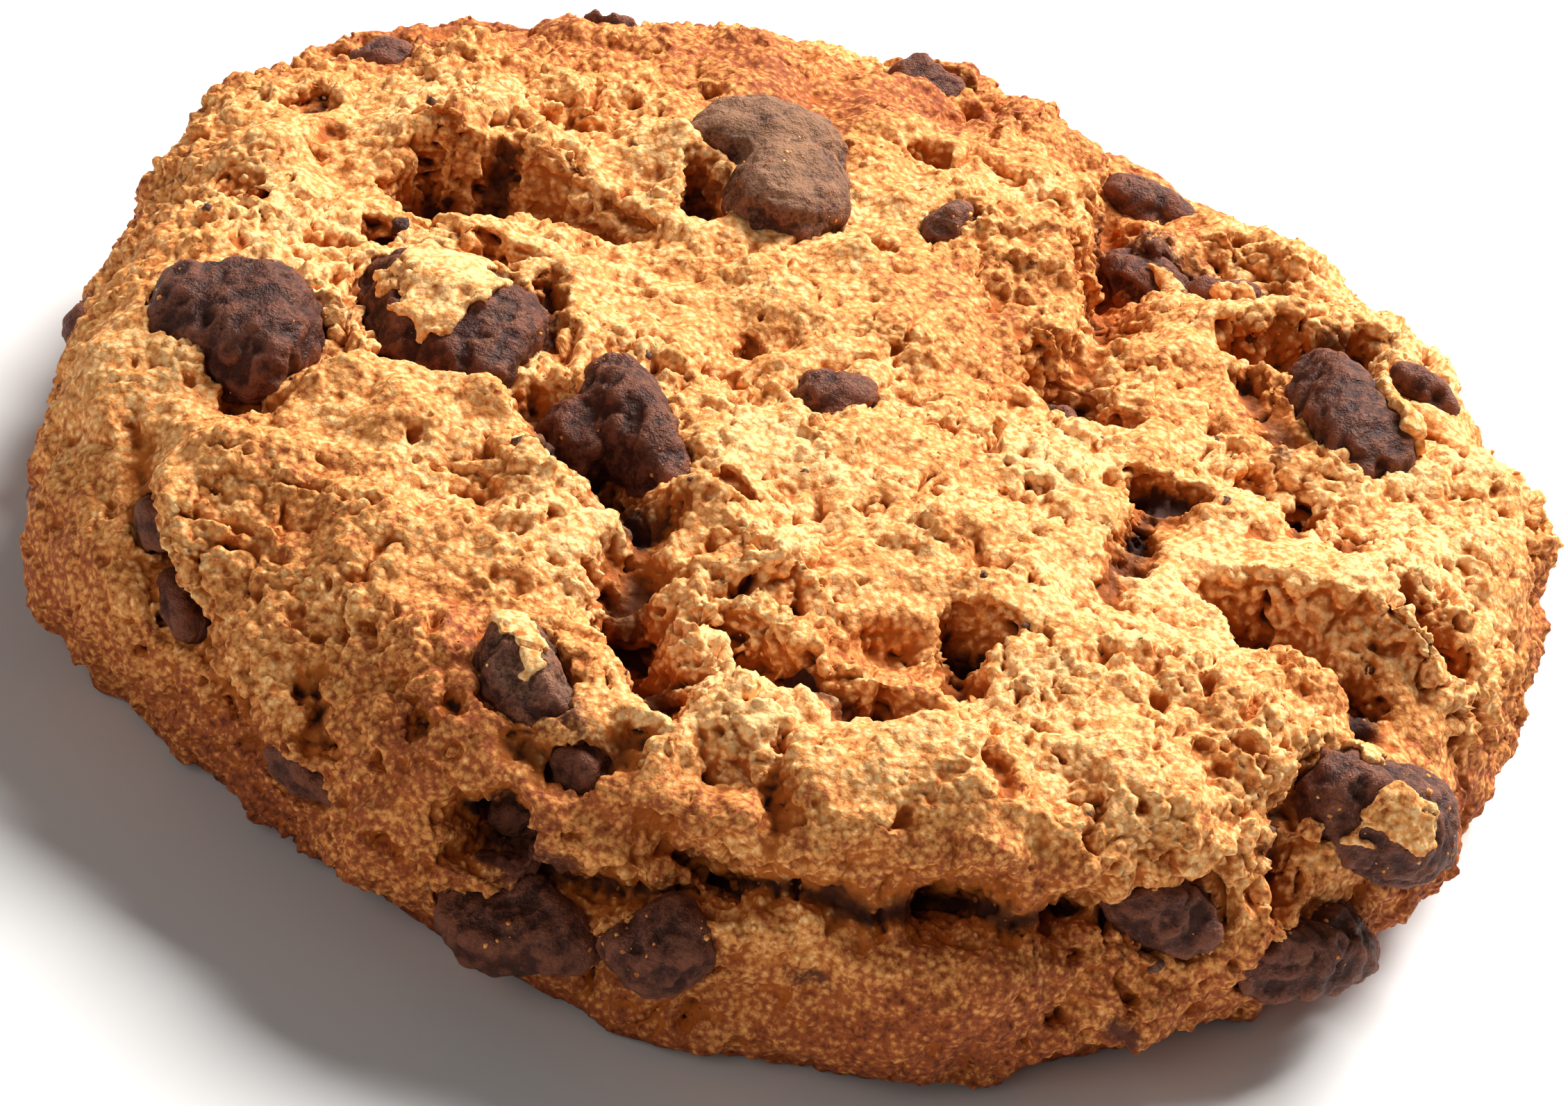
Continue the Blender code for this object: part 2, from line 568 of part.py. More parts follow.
def build_chunk(pill, noise, chunk, seed, material):
    """One chocolate chunk in its place."""
    rng = np.random.default_rng(seed)
    ground = ground_level(pill, noise, chunk.lumps[0])
    mesh = bmesh.new()
    for lump in chunk.lumps:
        made = bmesh.ops.create_icosphere(mesh, subdivisions=3, radius=1.0)
        local = np.array([vert.co[:] for vert in made["verts"]])
        for _ in range(chunk.facets):
            direction = rng.normal(size=3)
            direction /= np.linalg.norm(direction)
            over = np.maximum(local @ direction - rng.uniform(*FACET_REACH), 0.0)
            local -= over[:, None] * direction
        local *= (lump.long, lump.wide, chunk.thick)
        local[:, 2] += ground + chunk.proud - CHUNK_SINK * chunk.thick + lump.lift
        turn = Matrix.Rotation(math.radians(lump.turn), 4, "Z")
        place = pill.frame(lump.x, lump.y) @ np.array(turn)
        world = local @ place[:3, :3].T + place[:3, 3]
        for vert, co in zip(made["verts"], world):
            vert.co = co * MM
    data = bpy.data.meshes.new(chunk.name)
    mesh.to_mesh(data)
    mesh.free()
    obj = add_object(chunk.name, data)
    small = max(lump.long for lump in chunk.lumps) < CHIP_SIZE
    remesh(obj, CHIP_VOXEL if small else CHUNK_VOXEL)
    thin_out(obj, CHIP_FACES if small else CHUNK_FACES)
    points = get_points(obj.data)
    points[:, 2] = np.maximum(points[:, 2], POCKET_GAP)
    set_points(obj.data, points)
    obj.data.materials.append(material)
    return obj


def cut_pockets(dough, chunks):
    """Cut a pocket for each chunk, larger than it by the gap."""
    cutters = bpy.data.collections.new("pockets")
    bpy.context.scene.collection.children.link(cutters)
    for chunk in chunks:
        cutter = bpy.data.objects.new(chunk.name + "_pocket", chunk.data.copy())
        cutter.hide_render = True
        cutter.display_type = "WIRE"
        grow = cutter.modifiers.new("gap", "DISPLACE")
        grow.mid_level = 0.0
        grow.strength = POCKET_GAP * MM
        cutters.objects.link(cutter)
    cut = dough.modifiers.new("pockets", "BOOLEAN")
    cut.operation = "DIFFERENCE"
    cut.solver = "EXACT"
    cut.operand_type = "COLLECTION"
    cut.collection = cutters
    apply_modifiers(dough)
    for cutter in list(cutters.objects):
        bpy.data.objects.remove(cutter)
    bpy.data.collections.remove(cutters)
    keep_largest_body(dough)
    triangulate(dough)


def main():
    """Build the dough and its chunks in an empty scene."""
    for obj in list(bpy.data.objects):
        bpy.data.objects.remove(obj)
    dough_finish = make_material("dough", DOUGH_COLOUR, 0.85)
    chocolate_finish = make_material("chocolate", CHOCOLATE_COLOUR, 0.5)
    pill = Pill()
    noise = Noise(RELIEF_SEED)
    dough = build_dough(pill, noise, dough_finish)
    chunks = [
        build_chunk(pill, noise, chunk, seed, chocolate_finish) for seed, chunk in enumerate(CHUNKS, 1)
    ]
    cut_pockets(dough, chunks)
    for obj in [dough, *chunks]:
        obj.data.shade_smooth()
        obj.data.set_sharp_from_angle(angle=math.radians(CREASE_ANGLE))


main()
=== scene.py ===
"""The looks of a thick, soft-baked chocolate chip cookie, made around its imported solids.

The crust is sculpted on the same turned pill as the solids, from the same places and sizes, and then gets
its crumb: grains, pores and fine cracks. Sculpting is done in millimetres, and meshes are in metres.
"""
import itertools
import logging
import math
from dataclasses import dataclass, field
from enum import Enum

import bmesh
import bpy
import numpy as np
from mathutils import Matrix, Vector
from mathutils.bvhtree import BVHTree


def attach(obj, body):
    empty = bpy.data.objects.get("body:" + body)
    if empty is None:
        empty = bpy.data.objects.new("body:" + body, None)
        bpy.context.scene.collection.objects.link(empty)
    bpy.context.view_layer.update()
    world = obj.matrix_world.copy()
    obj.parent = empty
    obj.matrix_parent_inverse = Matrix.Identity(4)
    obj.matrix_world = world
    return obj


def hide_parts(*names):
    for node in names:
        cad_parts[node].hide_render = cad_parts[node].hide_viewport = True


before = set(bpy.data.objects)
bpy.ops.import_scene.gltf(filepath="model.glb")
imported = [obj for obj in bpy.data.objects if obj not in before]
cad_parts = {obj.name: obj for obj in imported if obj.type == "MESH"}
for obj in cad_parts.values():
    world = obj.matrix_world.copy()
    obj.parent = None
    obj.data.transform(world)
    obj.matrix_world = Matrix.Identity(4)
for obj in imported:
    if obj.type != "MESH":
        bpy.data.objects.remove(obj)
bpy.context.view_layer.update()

logging.basicConfig(level=logging.INFO, format="%(message)s")
log = logging.getLogger("cookie")

MM = 0.001
ROOT_BODY = "root"
Array = np.ndarray


def linear(red: int, green: int, blue: int) -> tuple[float, float, float, float]:
    """A screen colour, 0 to 255, as the linear values that shaders take.

    Args:
        red: Its red.
        green: Its green.
        blue: Its blue.

    Returns:
        Red, green, blue and alpha.
    """
    steps = [value / 255.0 for value in (red, green, blue)]
    values = [s / 12.92 if s <= 0.04045 else ((s + 0.055) / 1.055) ** 2.4 for s in steps]
    return (*values, 1.0)


def smooth_step(value: Array, low: float, high: float) -> Array:
    """Ease from 0 at low to 1 at high."""
    t = np.clip((value - low) / (high - low), 0.0, 1.0)
    return t * t * (3.0 - 2.0 * t)


def turned(x: Array, y: Array, degrees: float) -> tuple[Array, Array]:
    """Coordinates along and across a direction.

    Args:
        x: First coordinates.
        y: Second coordinates.
        degrees: The direction.

    Returns:
        The coordinates along it and across it.
    """
    cos = math.cos(math.radians(degrees))
    sin = math.sin(math.radians(degrees))
    return x * cos + y * sin, y * cos - x * sin


def line_distance(points: tuple, u: Array, v: Array) -> tuple[Array, Array, Array]:
    """Measure places against a line of points.

    Args:
        points: The line's corners.
        u: The places' first coordinate.
        v: The places' second coordinate.

    Returns:
        The distance, the side (1 on the line's left, -1 on its right) and the share of the line walked.
    """
    best = np.full(u.shape, np.inf)
    side = np.ones(u.shape)
    place = np.zeros(u.shape)
    lengths = [math.dist(a, b) for a, b in itertools.pairwise(points)]
    walked = 0.0
    for (a, b), length in zip(itertools.pairwise(points), lengths):
        dx = (b[0] - a[0]) / length
        dy = (b[1] - a[1]) / length
        along = np.clip((u - a[0]) * dx + (v - a[1]) * dy, 0.0, length)
        distance = np.hypot(u - a[0] - along * dx, v - a[1] - along * dy)
        left = np.where((v - a[1]) * dx - (u - a[0]) * dy >= 0.0, 1.0, -1.0)
        nearer = distance < best
        side = np.where(nearer, left, side)
        place = np.where(nearer, (walked + along) / sum(lengths), place)
        best = np.where(nearer, distance, best)
        walked += length
    return best, side, place


class Noise:
    """Smooth seeded noise in three dimensions, from -1 to 1."""

    CELLS = 32

    def __init__(self, seed: int) -> None:
        """Draw the lattice's values."""
        self.values = np.random.default_rng(seed).uniform(-1.0, 1.0, (self.CELLS,) * 3)

    def __call__(self, points: Array, size: float) -> Array:
        """The noise at points, with lumps about `size` across.

        Args:
            points: Places in millimetres.
            size: How far apart the lumps are.

        Returns:
            A value for each place.
        """
        cell = np.floor(points / size).astype(int)
        part = points / size - cell
        part = part * part * (3.0 - 2.0 * part)
        total = np.zeros(len(points))
        for corner in itertools.product((0, 1), repeat=3):
            weight = np.prod(np.where(corner, part, 1.0 - part), axis=1)
            total += weight * self.values[tuple(((cell + corner) % self.CELLS).T)]
        return total


class Grains:
    """Seeded grains of mixed size that fill space, as in a crumb."""

    CELLS = 32

    def __init__(self, seed: int) -> None:
        """Draw each grain's middle, how far it pushes its neighbours away, and its level.

        Args:
            seed: The seed of all draws.
        """
        rng = np.random.default_rng(seed)
        self.spots = rng.uniform(0.05, 0.95, (self.CELLS,) * 3 + (3,))
        self.pushes = rng.uniform(0.0, 0.35, (self.CELLS,) * 3)
        self.levels = rng.uniform(-1.0, 1.0, (self.CELLS,) * 3)

    def __call__(self, points: Array, size: float) -> tuple[Array, Array]:
        """Look up the grains at points.

        Args:
            points: Places in millimetres.
            size: The grains' spacing in millimetres.

        Returns:
            The distance from the grain's seam, as a share of the spacing, and the grain's level, -1 to 1.
        """
        scaled = points / size
        cell = np.floor(scaled).astype(int)
        first = np.full(len(points), np.inf)
        second = np.full(len(points), np.inf)
        level = np.zeros(len(points))
        for corner in itertools.product((-1, 0, 1), repeat=3):
            around = cell + corner
            index = tuple((around % self.CELLS).T)
            away = np.sqrt(((scaled - around - self.spots[index]) ** 2).sum(1)) - self.pushes[index]
            nearer = away < first
            second = np.where(nearer, first, np.minimum(second, away))
            level = np.where(nearer, self.levels[index], level)
            first = np.where(nearer, away, first)
        return second - first, level


@dataclass(frozen=True)
class GrainLayer:
    """Grains of one spacing, with their height on smooth skin and what broken dough adds to it."""

    size: float
    seam: float
    smooth: float
    broken: float
    offset: float


class CrumbRelief:
    """Grain, pores and short cracks of baked dough, as a height over any surface."""

    LAYERS = (
        GrainLayer(2.1, 0.35, 0.10, 0.28, 0.0),
        GrainLayer(1.05, 0.5, 0.09, 0.19, 7.0),
        GrainLayer(0.6, 0.6, 0.09, 0.09, 13.0),
    )
    CRACK_WIDTH = 0.07
    CRACK_DEPTH = 0.6

    def __init__(self, seed: int) -> None:
        """Draw the noise and the grains."""
        self.noise = Noise(seed)
        self.grains = Grains(seed + 1)

    def coarseness(self, points: Array) -> Array:
        """How crumbly the dough is, from 0 on smooth baked skin to 1 where it broke.

        Args:
            points: Places in millimetres.

        Returns:
            A share for each place.
        """
        broad = self.noise(points, 6.5) + 0.6 * self.noise(points + 30.0, 2.8)
        side = 1.0 - smooth_step(points[:, 2], 7.0, 16.0)
        side = side * (1.0 - smooth_step(0.5 * points[:, 0] + points[:, 1], -15.0, 5.0))
        return smooth_step(broad + 0.5 * side, -0.5, 0.5)

    def domes(self, points: Array, layer: GrainLayer) -> Array:
        """Domed grains of one layer, each at its own level, with seams between them.

        Args:
            points: Places in millimetres.
            layer: The layer.

        Returns:
            The layer's height before it is scaled.
        """
        gap, level = self.grains(points + layer.offset, layer.size)
        dome = 1.0 - (1.0 - np.clip(gap / layer.seam, 0.0, 1.0)) ** 2
        return dome - 0.75 + 0.5 * level * dome

    def height(self, points: Array, coarse: Array) -> Array:
        """Height in millimetres at points, for a coarseness from 0 to 1.

        Args:
            points: Places in millimetres.
            coarse: The coarseness there.

        Returns:
            The height of the crumb over the surface.
        """
        wander = np.stack([self.noise(points + 20.0 * axis, 1.6) for axis in range(3)], 1)
        jitter = np.stack([self.noise(points - 20.0 * axis, 0.5) for axis in range(3)], 1)
        warped = points + 0.4 * wander + 0.2 * jitter
        height = np.zeros(len(points))
        for layer in self.LAYERS:
            height += (layer.smooth + layer.broken * coarse) * self.domes(warped, layer)
        crack = smooth_step(1.0 - np.abs(self.noise(warped + 31.0, 2.6)) / self.CRACK_WIDTH, 0.0, 1.0)
        height -= self.CRACK_DEPTH * crack * smooth_step(self.noise(points + 70.0, 3.0), 0.0, 0.3)
        pores = smooth_step(self.noise(warped + 90.0, 1.1) + 0.2 * coarse, 0.6, 0.76)
        return height - (0.3 + 0.5 * coarse) * pores


@dataclass(frozen=True)
class Oval:
    """An ellipse, by its middle, its half sizes and its turn in degrees."""

    x: float
    y: float
    long: float
    wide: float
    turn: float

    def spread(self, u: Array, v: Array) -> Array:
        """How far out places lie, squared: 0 in the middle and 1 on the ellipse."""
        along, across = turned(u - self.x, v - self.y, self.turn)
        return (along / self.long) ** 2 + (across / self.wide) ** 2


@dataclass(frozen=True)
class Swell(Oval):
    """A soft raised area, or a sunk one where its height is negative."""

    height: float

    def relief(self, u: Array, v: Array) -> Array:
        """Height at places on the unrolled crust."""
        return self.height * np.exp(-self.spread(u, v))


@dataclass(frozen=True)
class Pit(Oval):
    """A hollow with a broad floor and steep walls."""

    depth: float

    def relief(self, u: Array, v: Array) -> Array:
        """Height at places on the unrolled crust."""
        return -self.depth * smooth_step(1.15 - np.sqrt(self.spread(u, v)), 0.0, 0.45)


@dataclass(frozen=True)
class Cleft:
    """A crack that runs along a line and closes towards its ends."""

    points: tuple
    width: float
    depth: float

    def relief(self, u: Array, v: Array) -> Array:
        """Height at places on the unrolled crust.

        Args:
            u: Their first coordinate.
            v: Their second coordinate.

        Returns:
            The height in millimetres, zero or less.
        """
        distance, _, place = line_distance(self.points, u, v)
        ends = np.clip(4.0 * np.minimum(place, 1.0 - place) + 0.35, 0.0, 1.0)
        return -self.depth * ends * np.exp(-((distance / (self.width * ends + 0.01)) ** 2))


@dataclass(frozen=True)
class Lip:
    """A broken edge: the ground on the left of the line stands above the ground on its right."""

    points: tuple
    rise: float
    reach: float

    def relief(self, u: Array, v: Array) -> Array:
        """Height at places on the unrolled crust.

        Args:
            u: Their first coordinate.
            v: Their second coordinate.

        Returns:
            The height in millimetres, more on the line's left than on its right.
        """
        distance, side, place = line_distance(self.points, u, v)
        ends = np.clip(5.0 * np.minimum(place, 1.0 - place), 0.0, 1.0)
        fade = np.exp(-((distance / self.reach) ** 2))
        level = np.tanh(side * distance / 0.4)
        return self.rise * ends * fade * (0.4 * level + 0.1 * (level - 1.0))


@dataclass(frozen=True)
class Pill:
    """The turned base form, its profile running from the middle of the top to the middle of the base."""

    radius: float = 40.0
    shoulder: float = 9.5
    foot: float = 5.0
    waist: float = 6.5
    rim_height: float = 16.0
    dome: float = 1.5
    waves: tuple = ((2, 0.5, 130.0), (3, 0.6, 26.0), (4, 0.6, 25.0), (5, 0.5, 5.0), (6, 0.7, 24.0))

    def __post_init__(self) -> None:
        """Work out the profile, its length from the top's middle, and its outward directions."""
        flat = self.radius - self.shoulder
        r = np.linspace(0.0, flat, 60, endpoint=False)
        a = np.linspace(0.0, math.pi / 2, 40, endpoint=False)
        top = np.stack([r, self.rim_height + self.dome * (1.0 - (r / flat) ** 2)], 1)
        height = self.rim_height - self.waist
        shoulder = np.stack([flat + self.shoulder * np.sin(a), self.waist + height * np.cos(a)], 1)
        foot = np.stack([self.radius - self.foot + self.foot * np.cos(a), self.waist * (1.0 - np.sin(a))], 1)
        under = np.stack([np.linspace(self.radius - self.foot, 0.0, 40), np.zeros(40)], 1)
        profile = np.concatenate([top, shoulder, foot, under])
        length = np.concatenate([[0.0], np.cumsum(np.hypot(*np.diff(profile, axis=0).T))])
        tangent = np.gradient(profile, length, axis=0)
        tangent /= np.hypot(*tangent.T)[:, None]
        object.__setattr__(self, "profile", profile)
        object.__setattr__(self, "length", length)
        object.__setattr__(self, "outward", np.stack([-tangent[:, 1], tangent[:, 0]], 1))

    def reach(self, angle: Array) -> Array:
        """The outline's radius at an angle, as a share of the pill's radius.

        Args:
            angle: Angles round the middle, in radians.

        Returns:
            A share for each angle.
        """
        share = np.ones_like(angle)
        for waves, height, crest in self.waves:
            share = share + height / self.radius * np.cos(waves * (angle - math.radians(crest)))
        return share

    def unroll(self, points: Array) -> tuple[Array, Array]:
        """Places on the unrolled crust of points that lie near the pill.

        Args:
            points: Points in millimetres.

        Returns:
            Their two coordinates on the unrolled crust.
        """
        angle = np.arctan2(points[:, 1], points[:, 0])
        share = self.reach(angle)
        level = np.stack([np.hypot(points[:, 0], points[:, 1]) / share, points[:, 2]], 1)
        nearest = np.concatenate([
            np.argmin(((part[:, None] - self.profile[None]) ** 2).sum(2), axis=1)
            for part in np.array_split(level, 1 + len(level) // 8000)
        ])
        gone = self.length[nearest]
        for step in (-1, 1):
            other = np.clip(nearest + step, 0, len(self.length) - 1)
            edge = self.profile[other] - self.profile[nearest]
            size = np.maximum((edge ** 2).sum(1), 1e-9)
            share_on = np.clip(((level - self.profile[nearest]) * edge).sum(1) / size, 0.0, 1.0)
            gone = gone + share_on * (self.length[other] - self.length[nearest])
        gone = gone * share
        return gone * np.cos(angle), gone * np.sin(angle)

    def surface(self, u: Array, v: Array) -> tuple[Array, Array]:
        """Points and outward normals of the pill at places on the unrolled crust.

        Args:
            u: The places' first coordinate.
            v: The places' second coordinate.

        Returns:
            The points in millimetres, and the normals.
        """
        angle = np.arctan2(v, u)
        share = self.reach(angle)
        gone = np.hypot(u, v) / share
        ring = [np.interp(gone, self.length, column) for column in self.profile.T]
        out = [np.interp(gone, self.length, column) for column in self.outward.T]
        points = np.stack([ring[0] * share * np.cos(angle), ring[0] * share * np.sin(angle), ring[1]], 1)
        normals = np.stack([out[0] * np.cos(angle), out[0] * np.sin(angle), out[1]], 1)
        return points, normals


SWELLS = (
    Swell(-18.0, -19.5, 10.5, 9.0, -20.0, 1.7),
    Swell(4.0, -13.5, 9.5, 9.0, 0.0, 1.1),
    Swell(12.0, -31.5, 14.0, 4.6, 6.0, 2.0),
    Swell(22.5, -19.0, 7.0, 6.5, 30.0, 1.3),
    Swell(36.0, -3.0, 5.0, 9.0, 0.0, 1.0),
    Swell(-9.0, 23.0, 17.0, 9.0, 8.0, 1.0),
    Swell(6.0, 11.5, 5.0, 8.0, 0.0, 1.4),
    Swell(-36.0, -12.0, 6.0, 10.0, -10.0, 0.8),
    Swell(-16.0, -37.0, 9.0, 5.0, -18.0, 0.9),
    Swell(-9.8, 14.0, 1.9, 2.1, 0.0, 1.2),
    Swell(-5.0, -16.8, 2.5, 1.2, 20.0, 1.4),
    Swell(-18.0, 8.0, 9.5, 3.4, 10.0, -1.2),
    Swell(12.0, -46.0, 22.0, 5.0, 4.0, -1.0),
    Swell(-4.0, -49.0, 12.0, 4.0, -4.0, -2.2),
    Swell(17.5, 20.0, 5.2, 5.4, 20.0, -2.2),
    Swell(27.0, 12.5, 4.5, 4.0, -40.0, -1.2),
    Swell(26.0, 24.0, 9.0, 4.5, -38.0, 1.0),
    Swell(-27.0, 22.5, 12.0, 5.0, 48.0, -1.5),
    Swell(0.0, 33.0, 13.0, 5.0, 0.0, -0.9),
    Swell(14.6, 29.5, 3.8, 3.6, -20.0, -1.4),
    Swell(36.5, 14.0, 3.6, 2.6, 20.0, -1.0),
    Swell(-43.0, -6.0, 4.0, 8.0, 0.0, -1.0),
    Swell(-31.0, -38.5, 14.0, 4.5, -38.0, -1.1),
    Swell(36.5, -39.0, 5.0, 5.0, 0.0, -0.8),
)

PITS = (
    Pit(-21.2, 8.2, 3.2, 2.3, 22.0, 4.6),
    Pit(-14.0, 8.2, 2.2, 1.6, 5.0, 4.0),
    Pit(-17.2, 8.8, 1.8, 1.8, 0.0, 2.4),
    Pit(-19.2, 11.4, 0.8, 1.6, 0.0, 2.8),
    Pit(-30.4, 16.0, 0.9, 1.5, 0.0, 2.4),
    Pit(-28.4, 11.3, 0.9, 1.0, 0.0, 1.5),
    Pit(-23.0, 12.6, 0.8, 0.9, 0.0, 1.6),
    Pit(-23.9, 2.8, 0.9, 1.3, 25.0, 2.2),
    Pit(-31.0, 3.4, 0.8, 0.9, 30.0, 1.6),
    Pit(-32.2, 5.2, 1.2, 0.8, 0.0, 1.3),
    Pit(-14.6, -1.9, 1.0, 3.0, 8.0, 2.8),
    Pit(-17.9, 1.9, 1.9, 0.8, 5.0, 1.8),
    Pit(-8.2, 11.8, 1.1, 2.3, 0.0, 2.6),
    Pit(-4.1, -0.2, 0.7, 0.8, 0.0, 1.2),
    Pit(3.0, 21.4, 1.3, 0.9, 30.0, 1.3),
    Pit(0.8, 10.0, 1.2, 0.8, -20.0, 1.1),
    Pit(-3.7, -15.0, 1.7, 0.8, 10.0, 2.0),
    Pit(18.5, -3.1, 1.9, 1.1, 15.0, 3.4),
    Pit(17.5, -7.2, 0.9, 1.8, 0.0, 3.8),
    Pit(23.4, -5.6, 0.9, 0.7, 0.0, 1.4),
    Pit(28.2, -3.4, 1.0, 0.8, 0.0, 1.8),
    Pit(14.6, 2.2, 1.5, 0.8, 10.0, 2.6),
    Pit(12.9, 4.0, 1.5, 2.2, 10.0, 2.6),
    Pit(10.9, -20.0, 1.8, 1.1, 16.0, 4.2),
    Pit(2.2, -27.2, 1.7, 1.0, -18.0, 4.2),
    Pit(-11.0, -39.9, 2.3, 2.0, -20.0, 4.6),
    Pit(-14.9, -35.0, 0.55, 0.6, 0.0, 1.8),
    Pit(-13.6, -34.4, 0.5, 0.55, 0.0, 1.8),
    Pit(-27.4, -14.4, 1.7, 0.9, -20.0, 2.4),
)

CLEFTS = (
    Cleft(((-14.5, -9.0), (-10.5, -14.5), (-7.2, -18.0), (-6.4, -20.5)), 2.2, 3.8),
    Cleft(((-6.6, -19.0), (-6.6, -22.8), (-6.2, -26.0), (-4.4, -29.5), (-3.8, -32.6)), 1.4, 2.9),
    Cleft(((-1.5, -24.6), (1.5, -27.4), (6.0, -28.2), (10.2, -27.8)), 1.0, 2.8),
    Cleft(((10.4, -19.5), (10.2, -22.0), (10.6, -25.4)), 0.7, 2.0),
    Cleft(((12.2, -30.6), (13.5, -33.6)), 0.7, 1.6),
    Cleft(((2.4, -33.6), (3.4, -36.8), (3.0, -39.6)), 0.7, 1.8),
    Cleft(((-2.4, -39.6), (1.8, -41.0), (5.6, -40.0), (9.0, -40.2), (12.6, -37.8), (16.0, -38.2),
           (18.8, -36.2), (22.0, -35.4)), 1.1, 3.2),
    Cleft(((21.6, -11.2), (25.5, -12.4), (29.5, -13.6), (31.9, -16.0), (31.7, -18.8)), 1.4, 3.6),
    Cleft(((19.0, -2.0), (17.6, -5.5), (17.5, -9.0), (16.6, -12.0), (17.2, -15.4)), 1.2, 2.6),
    Cleft(((19.6, 12.2), (24.0, 14.2), (28.6, 16.4)), 1.4, 3.4),
    Cleft(((21.0, 11.0), (22.6, 7.4), (25.6, 3.6)), 1.2, 2.6),
    Cleft(((25.8, 1.2), (26.0, -1.6), (25.4, -4.2)), 0.9, 2.4),
    Cleft(((30.6, -6.8), (33.0, -8.0), (35.6, -10.0)), 1.1, 2.2),
    Cleft(((-33.6, -16.4), (-32.3, -21.0), (-29.0, -28.9), (-25.6, -34.0), (-21.4, -38.0)), 1.0, 2.0),
    Cleft(((-22.4, -31.4), (-20.8, -34.0), (-20.0, -36.4)), 0.9, 2.2),
    Cleft(((-23.4, -0.6), (-22.9, -5.0), (-20.4, -9.6), (-16.4, -11.0)), 1.1, 3.2),
    Cleft(((-11.5, -35.6), (-7.0, -36.6), (-4.0, -34.6)), 1.1, 2.6),
    Cleft(((-10.5, -42.4), (-5.0, -43.0), (0.6, -42.2)), 1.0, 2.6),
    Cleft(((29.2, -20.0), (28.4, -25.0), (30.4, -30.0)), 1.2, 2.4),
    Cleft(((13.4, 27.0), (13.6, 21.0), (13.5, 15.5), (13.4, 9.0)), 1.1, 1.8),
    Cleft(((-34.5, 20.5), (-28.0, 27.0), (-19.0, 33.0)), 1.0, 1.6),
    Cleft(((22.0, 37.0), (12.0, 42.0), (2.0, 40.0)), 1.0, 1.8),
    Cleft(((44.0, 6.0), (40.0, 20.0), (32.0, 33.0)), 1.0, 1.8),
    Cleft(((-42.0, 12.0), (-38.0, 24.0), (-30.0, 33.0)), 1.0, 1.7),
)

LIPS = (
    Lip(((-4.8, -32.3), (-5.3, -29.3), (-7.8, -26.0), (-8.3, -22.7), (-7.4, -19.0), (-9.8, -15.4),
         (-12.4, -12.8), (-16.0, -10.9), (-19.8, -10.7), (-23.1, -11.0), (-25.4, -13.0),
         (-29.0, -16.9)), 2.4, 4.5),
    Lip(((-3.2, -11.5), (-4.8, -16.0), (-5.6, -20.0), (-5.0, -25.2), (-3.4, -29.4)), 1.8, 4.0),
    Lip(((-2.6, -22.6), (2.0, -21.4), (5.0, -22.0), (9.6, -20.6)), 1.6, 3.0),
    Lip(((-2.8, -24.6), (1.0, -25.2), (5.0, -26.8), (10.2, -26.6)), 1.8, 2.6),
    Lip(((20.0, -10.2), (25.0, -9.5), (30.5, -10.2), (34.0, -12.0), (35.4, -15.0), (34.2, -18.4)), 1.7, 3.0),
    Lip(((8.4, 7.6), (9.4, 4.9), (11.3, 5.3), (12.1, 9.0), (12.1, 13.0), (12.2, 17.0), (12.4, 22.0),
         (12.6, 28.0)), 2.8, 4.4),
    Lip(((28.6, 17.2), (24.0, 15.2), (19.8, 13.2), (18.0, 12.0)), -2.2, 3.0),
    Lip(((-26.0, 8.0), (-24.4, 9.6), (-22.0, 10.9), (-19.6, 11.3), (-16.8, 11.0), (-13.6, 10.2),
         (-11.4, 9.2), (-9.9, 7.7), (-9.0, 5.2)), 2.4, 3.2),
    Lip(((-33.6, -16.8), (-32.3, -21.0), (-30.0, -25.0), (-28.6, -29.0), (-25.6, -33.0),
         (-21.8, -37.6)), 2.0, 4.0),
    Lip(((-8.0, -37.2), (-1.7, -38.8), (3.5, -39.3), (7.9, -38.0), (13.2, -36.6), (17.2, -35.5),
         (21.4, -33.4), (24.7, -30.4), (27.4, -26.6)), 2.8, 3.8),
)


